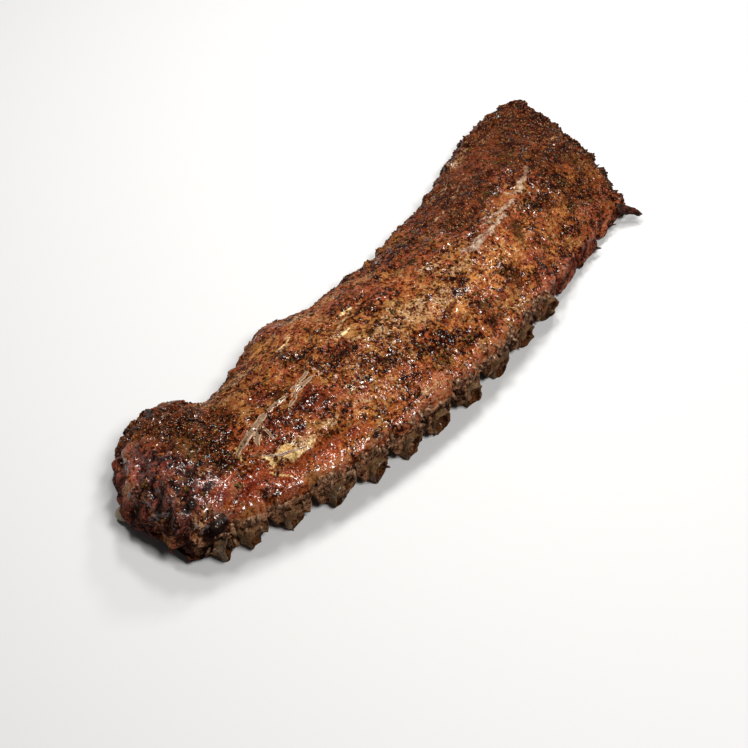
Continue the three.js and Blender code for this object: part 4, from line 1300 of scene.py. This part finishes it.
def flake_finish():
    material, tree, surface = finish_of("coarse flake")
    cloud = texture(tree, "Noise", 1.6, Detail=4.0)
    shade = mask_of(tree, "shade")
    colour = over(tree, between(tree, shade, 0.3, 0.7), CRUST_WARM, FLAKE_HERB)
    colour = over(tree, between(tree, cloud, 0.4, 0.56), CRUST_DARK, colour)
    set_inputs(tree, surface, {
        "Base Color": over(tree, between(tree, cloud, 0.56, 0.7, 0, 0.8), colour, CRUST_TAN),
        "Roughness": 0.55,
        "Specular IOR Level": DRY_SHINE,
        "Coat Weight": 0.08,
        "Coat Roughness": 0.1,
        "Normal": bumped(tree, cloud, 1.1, 1.0),
    })
    return material


points, faces, shade = coarse_flakes()
piece = piece_from("coarse_flakes", points, faces, flake_finish(), "roast_meat", shade=shade)
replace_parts(piece, "meat")

# ---- The dry rub ----
# Cracked pepper, golden grains, crumbs of crust, dried herbs and chili, which were rubbed onto the raw meat
# and have baked onto it.


def crumbs(density, seed, count, size, proportions, crush, sunk, tilt, bend):
    """Small bits on the top, more of them where density is high, and a shade for each."""
    rng = np.random.default_rng(seed)
    a, b = top_points[1:, :-1] - top_points[:-1, :-1], top_points[:-1, 1:] - top_points[:-1, :-1]
    weight = np.linalg.norm(np.cross(a, b), axis=-1) * np.clip(density[:-1, :-1], 0, None)
    cell = rng.choice(weight.size, count, p=(weight / weight.sum()).ravel())
    i, j = np.divmod(cell, weight.shape[1])
    k = top_k[i] + (top_k[i + 1] - top_k[i]) * rng.random(count)
    v = top_v[j] + (top_v[j + 1] - top_v[j]) * rng.random(count)
    shape, faces = ball(1)
    half = (size[0] + (size[1] - size[0]) * rng.random(count) ** 2)[:, None, None] / 2
    shape = shape[None] * (1 + crush * rng.uniform(-1, 1, (count, len(shape), 1))) * proportions
    shape[:, :, 2] += bend * shape[:, :, 0] ** 2 * rng.uniform(-1, 1, (count, 1))
    turn = rng.uniform(0, 2 * np.pi, count)
    lift = half[:, 0, 0] * proportions[2] * (1 - 2 * sunk)
    points = laid_on_top(k, v, shape * half, turn, rng.uniform(-tilt, tilt, count), lift)
    return copies(points, faces, rng.random(count))


def rub_of(name, density, dark, bright, roughness, coat, **form):
    """One kind of bit in the rub: its mesh, in the form asked for, and its finish."""
    points, faces, shade = crumbs(density, **form)
    material, tree, surface = finish_of(name.replace("_", " "))
    mixed = plus(tree, mask_of(tree, "shade"), swing(tree, texture(tree, "Noise", 0.8, Detail=2.0)))
    set_inputs(tree, surface, {
        "Base Color": over(tree, between(tree, mixed, 0.1, 0.9), dark, bright),
        "Roughness": roughness,
        "Specular IOR Level": DRY_SHINE,
        "Coat Weight": coat,
        "Coat Roughness": 0.08,
    })
    piece_from(name, points, faces, material, "roast_meat", shade=shade)


# Where the rub lies: in clusters, more in the hollows, and little on bare meat, fat, sinew and glaze.
ground = {name: on_grid(values) for name, values in slab_looks.items()}
flat = top_points.reshape(-1, 3)
cluster = (0.5 + 0.5 * grain(flat, 9, 61) + 0.3 * grain(flat, 3, 67)).reshape(top_points.shape[:2])
clear = (1 - 0.75 * ground["bare"]) * (1 - 0.85 * ground["fat"]) * (1 - 0.9 * ground["sinew"])
clear = clear * smoothstep(top_v, 0.035, 0.08) * (1 - 0.75 * ground["glaze"])
dusk = np.clip(0.6 - ground["tone"], 0, 0.5) * 2
seasoned = 0.14 + 1.4 * np.clip(cluster, 0, 1) ** 3 + 1.2 * dusk

# Cracked pepper: flat, angular and nearly black.
rub_of(
    "pepper", clear * (seasoned + ground["herb"]), seed=101, count=1900, size=(0.7, 2.5),
    proportions=(1, 0.8, 0.4), crush=0.3, sunk=0.5, tilt=0.4, bend=0,
    dark=(0.01, 0.004, 0.001), bright=(0.08, 0.028, 0.009), roughness=0.6, coat=0.03,
)
# Golden grains of sugar and garlic: small, round and glossy.
rub_of(
    "gold_grains", clear * (0.5 + 0.7 * ground["rub"] + 0.4 * ground["upper"] + ground["gold"]),
    seed=102, count=4600, size=(0.3, 0.9), proportions=(1, 0.9, 0.7), crush=0.15, sunk=0.4, tilt=0.4,
    bend=0, dark=(0.2, 0.055, 0.009), bright=(0.7, 0.42, 0.17), roughness=0.35, coat=1,
)
# Crumbs that broke off the crust.
rub_of(
    "crust_crumbs", clear * (0.3 + 1.5 * ground["rub"] + 0.5 * ground["thick"] + ground["upper"]),
    seed=103, count=6400, size=(0.6, 2.4), proportions=(1, 0.85, 0.6), crush=0.25, sunk=0.5, tilt=0.5,
    bend=0, dark=(0.02, 0.005, 0.001), bright=(0.2, 0.05, 0.013), roughness=0.5, coat=0.3,
)
# Dried herbs: thin, bent leaves.
rub_of(
    "herbs", clear * (0.25 + 2.4 * ground["herb"] + 0.6 * seasoned + 0.4 * ground["upper"]),
    seed=104, count=2300, size=(1, 3.2), proportions=(1, 0.5, 0.16), crush=0.2, sunk=0.1, tilt=0.5,
    bend=0.4, dark=(0.015, 0.009, 0.001), bright=(0.12, 0.075, 0.017), roughness=0.6, coat=0.04,
)
# Flakes of chili: thin, a little bent and red.
rub_of(
    "chili", clear * (0.5 + seasoned), seed=105, count=2000, size=(0.8, 2.4),
    proportions=(1, 0.6, 0.25), crush=0.25, sunk=0.2, tilt=0.5, bend=0.2,
    dark=(0.04, 0.005, 0.002), bright=(0.24, 0.03, 0.007), roughness=0.4, coat=0.2,
)

# ---- The studio ----
# A pale, matt floor under the rack, a camera above its chine side, a large soft lamp on that side and three
# small lamps behind it, which make the wet parts glint.

FLOOR_HALF = 3
FLOOR_PALE = (0.59, 0.6, 0.61, 1)
corners = [(x * FLOOR_HALF, y * FLOOR_HALF, 0) for x, y in ((-1, -1), (1, -1), (1, 1), (-1, 1))]
floor_mesh = bpy.data.meshes.new("floor")
floor_mesh.from_pydata(corners, [], [(0, 1, 2, 3)])
paper, tree, surface = finish_of("pale floor")
set_inputs(tree, surface, {"Base Color": FLOOR_PALE, "Roughness": 0.6})
floor_mesh.materials.append(paper)
floor = bpy.data.objects.new("floor", floor_mesh)
bpy.context.scene.collection.objects.link(floor)

CAMERA_PLACE = Vector((-0.4343, -0.3739, 0.6212))
CAMERA_AIM = Vector((-0.05275, -0.03782, 0.02))
CAMERA_ROLL = math.radians(3.65)
CAMERA_LENS = 61.9
camera = bpy.data.objects.new("camera", bpy.data.cameras.new("camera"))
camera.data.lens = CAMERA_LENS
camera.data.sensor_width = 36
camera.location = CAMERA_PLACE
look = (CAMERA_AIM - CAMERA_PLACE).to_track_quat("-Z", "Y").to_matrix().to_4x4()
camera.rotation_euler = (look @ Matrix.Rotation(CAMERA_ROLL, 4, "Z")).to_euler()
bpy.context.scene.collection.objects.link(camera)
bpy.context.scene.camera = camera

LAMP_COLOUR = (1, 0.975, 0.94)
SKY_STRENGTH = 0.05

# Each lamp's name, its power in watts, the side of its square face, and its place, in metres.
LAMPS = [
    ("main lamp on the chine side", 12.6, 0.46, (0.08, -0.62, 1.08)),
    ("small lamp behind the middle", 4.8, 0.17, (0.42, 0.38, 0.88)),
    ("small lamp behind the thick end", 4.4, 0.18, (-0.12, 0.42, 0.98)),
    ("small lamp past the thin end", 5, 0.17, (0.85, 0.3, 0.8)),
]
for name, power, side, place in LAMPS:
    light = bpy.data.lights.new(name, "AREA")
    light.energy = power
    light.size = side
    light.color = LAMP_COLOUR
    lamp = bpy.data.objects.new(name, light)
    lamp.location = place
    lamp.rotation_euler = (-lamp.location).to_track_quat("-Z", "Y").to_euler()
    bpy.context.scene.collection.objects.link(lamp)

world = bpy.data.worlds.new("studio")
world.use_nodes = True
sky = world.node_tree.nodes["Background"]
set_inputs(world.node_tree, sky, {"Color": (1, 1, 1, 1), "Strength": SKY_STRENGTH})
bpy.context.scene.world = world
bpy.context.scene.view_settings.view_transform = "Standard"
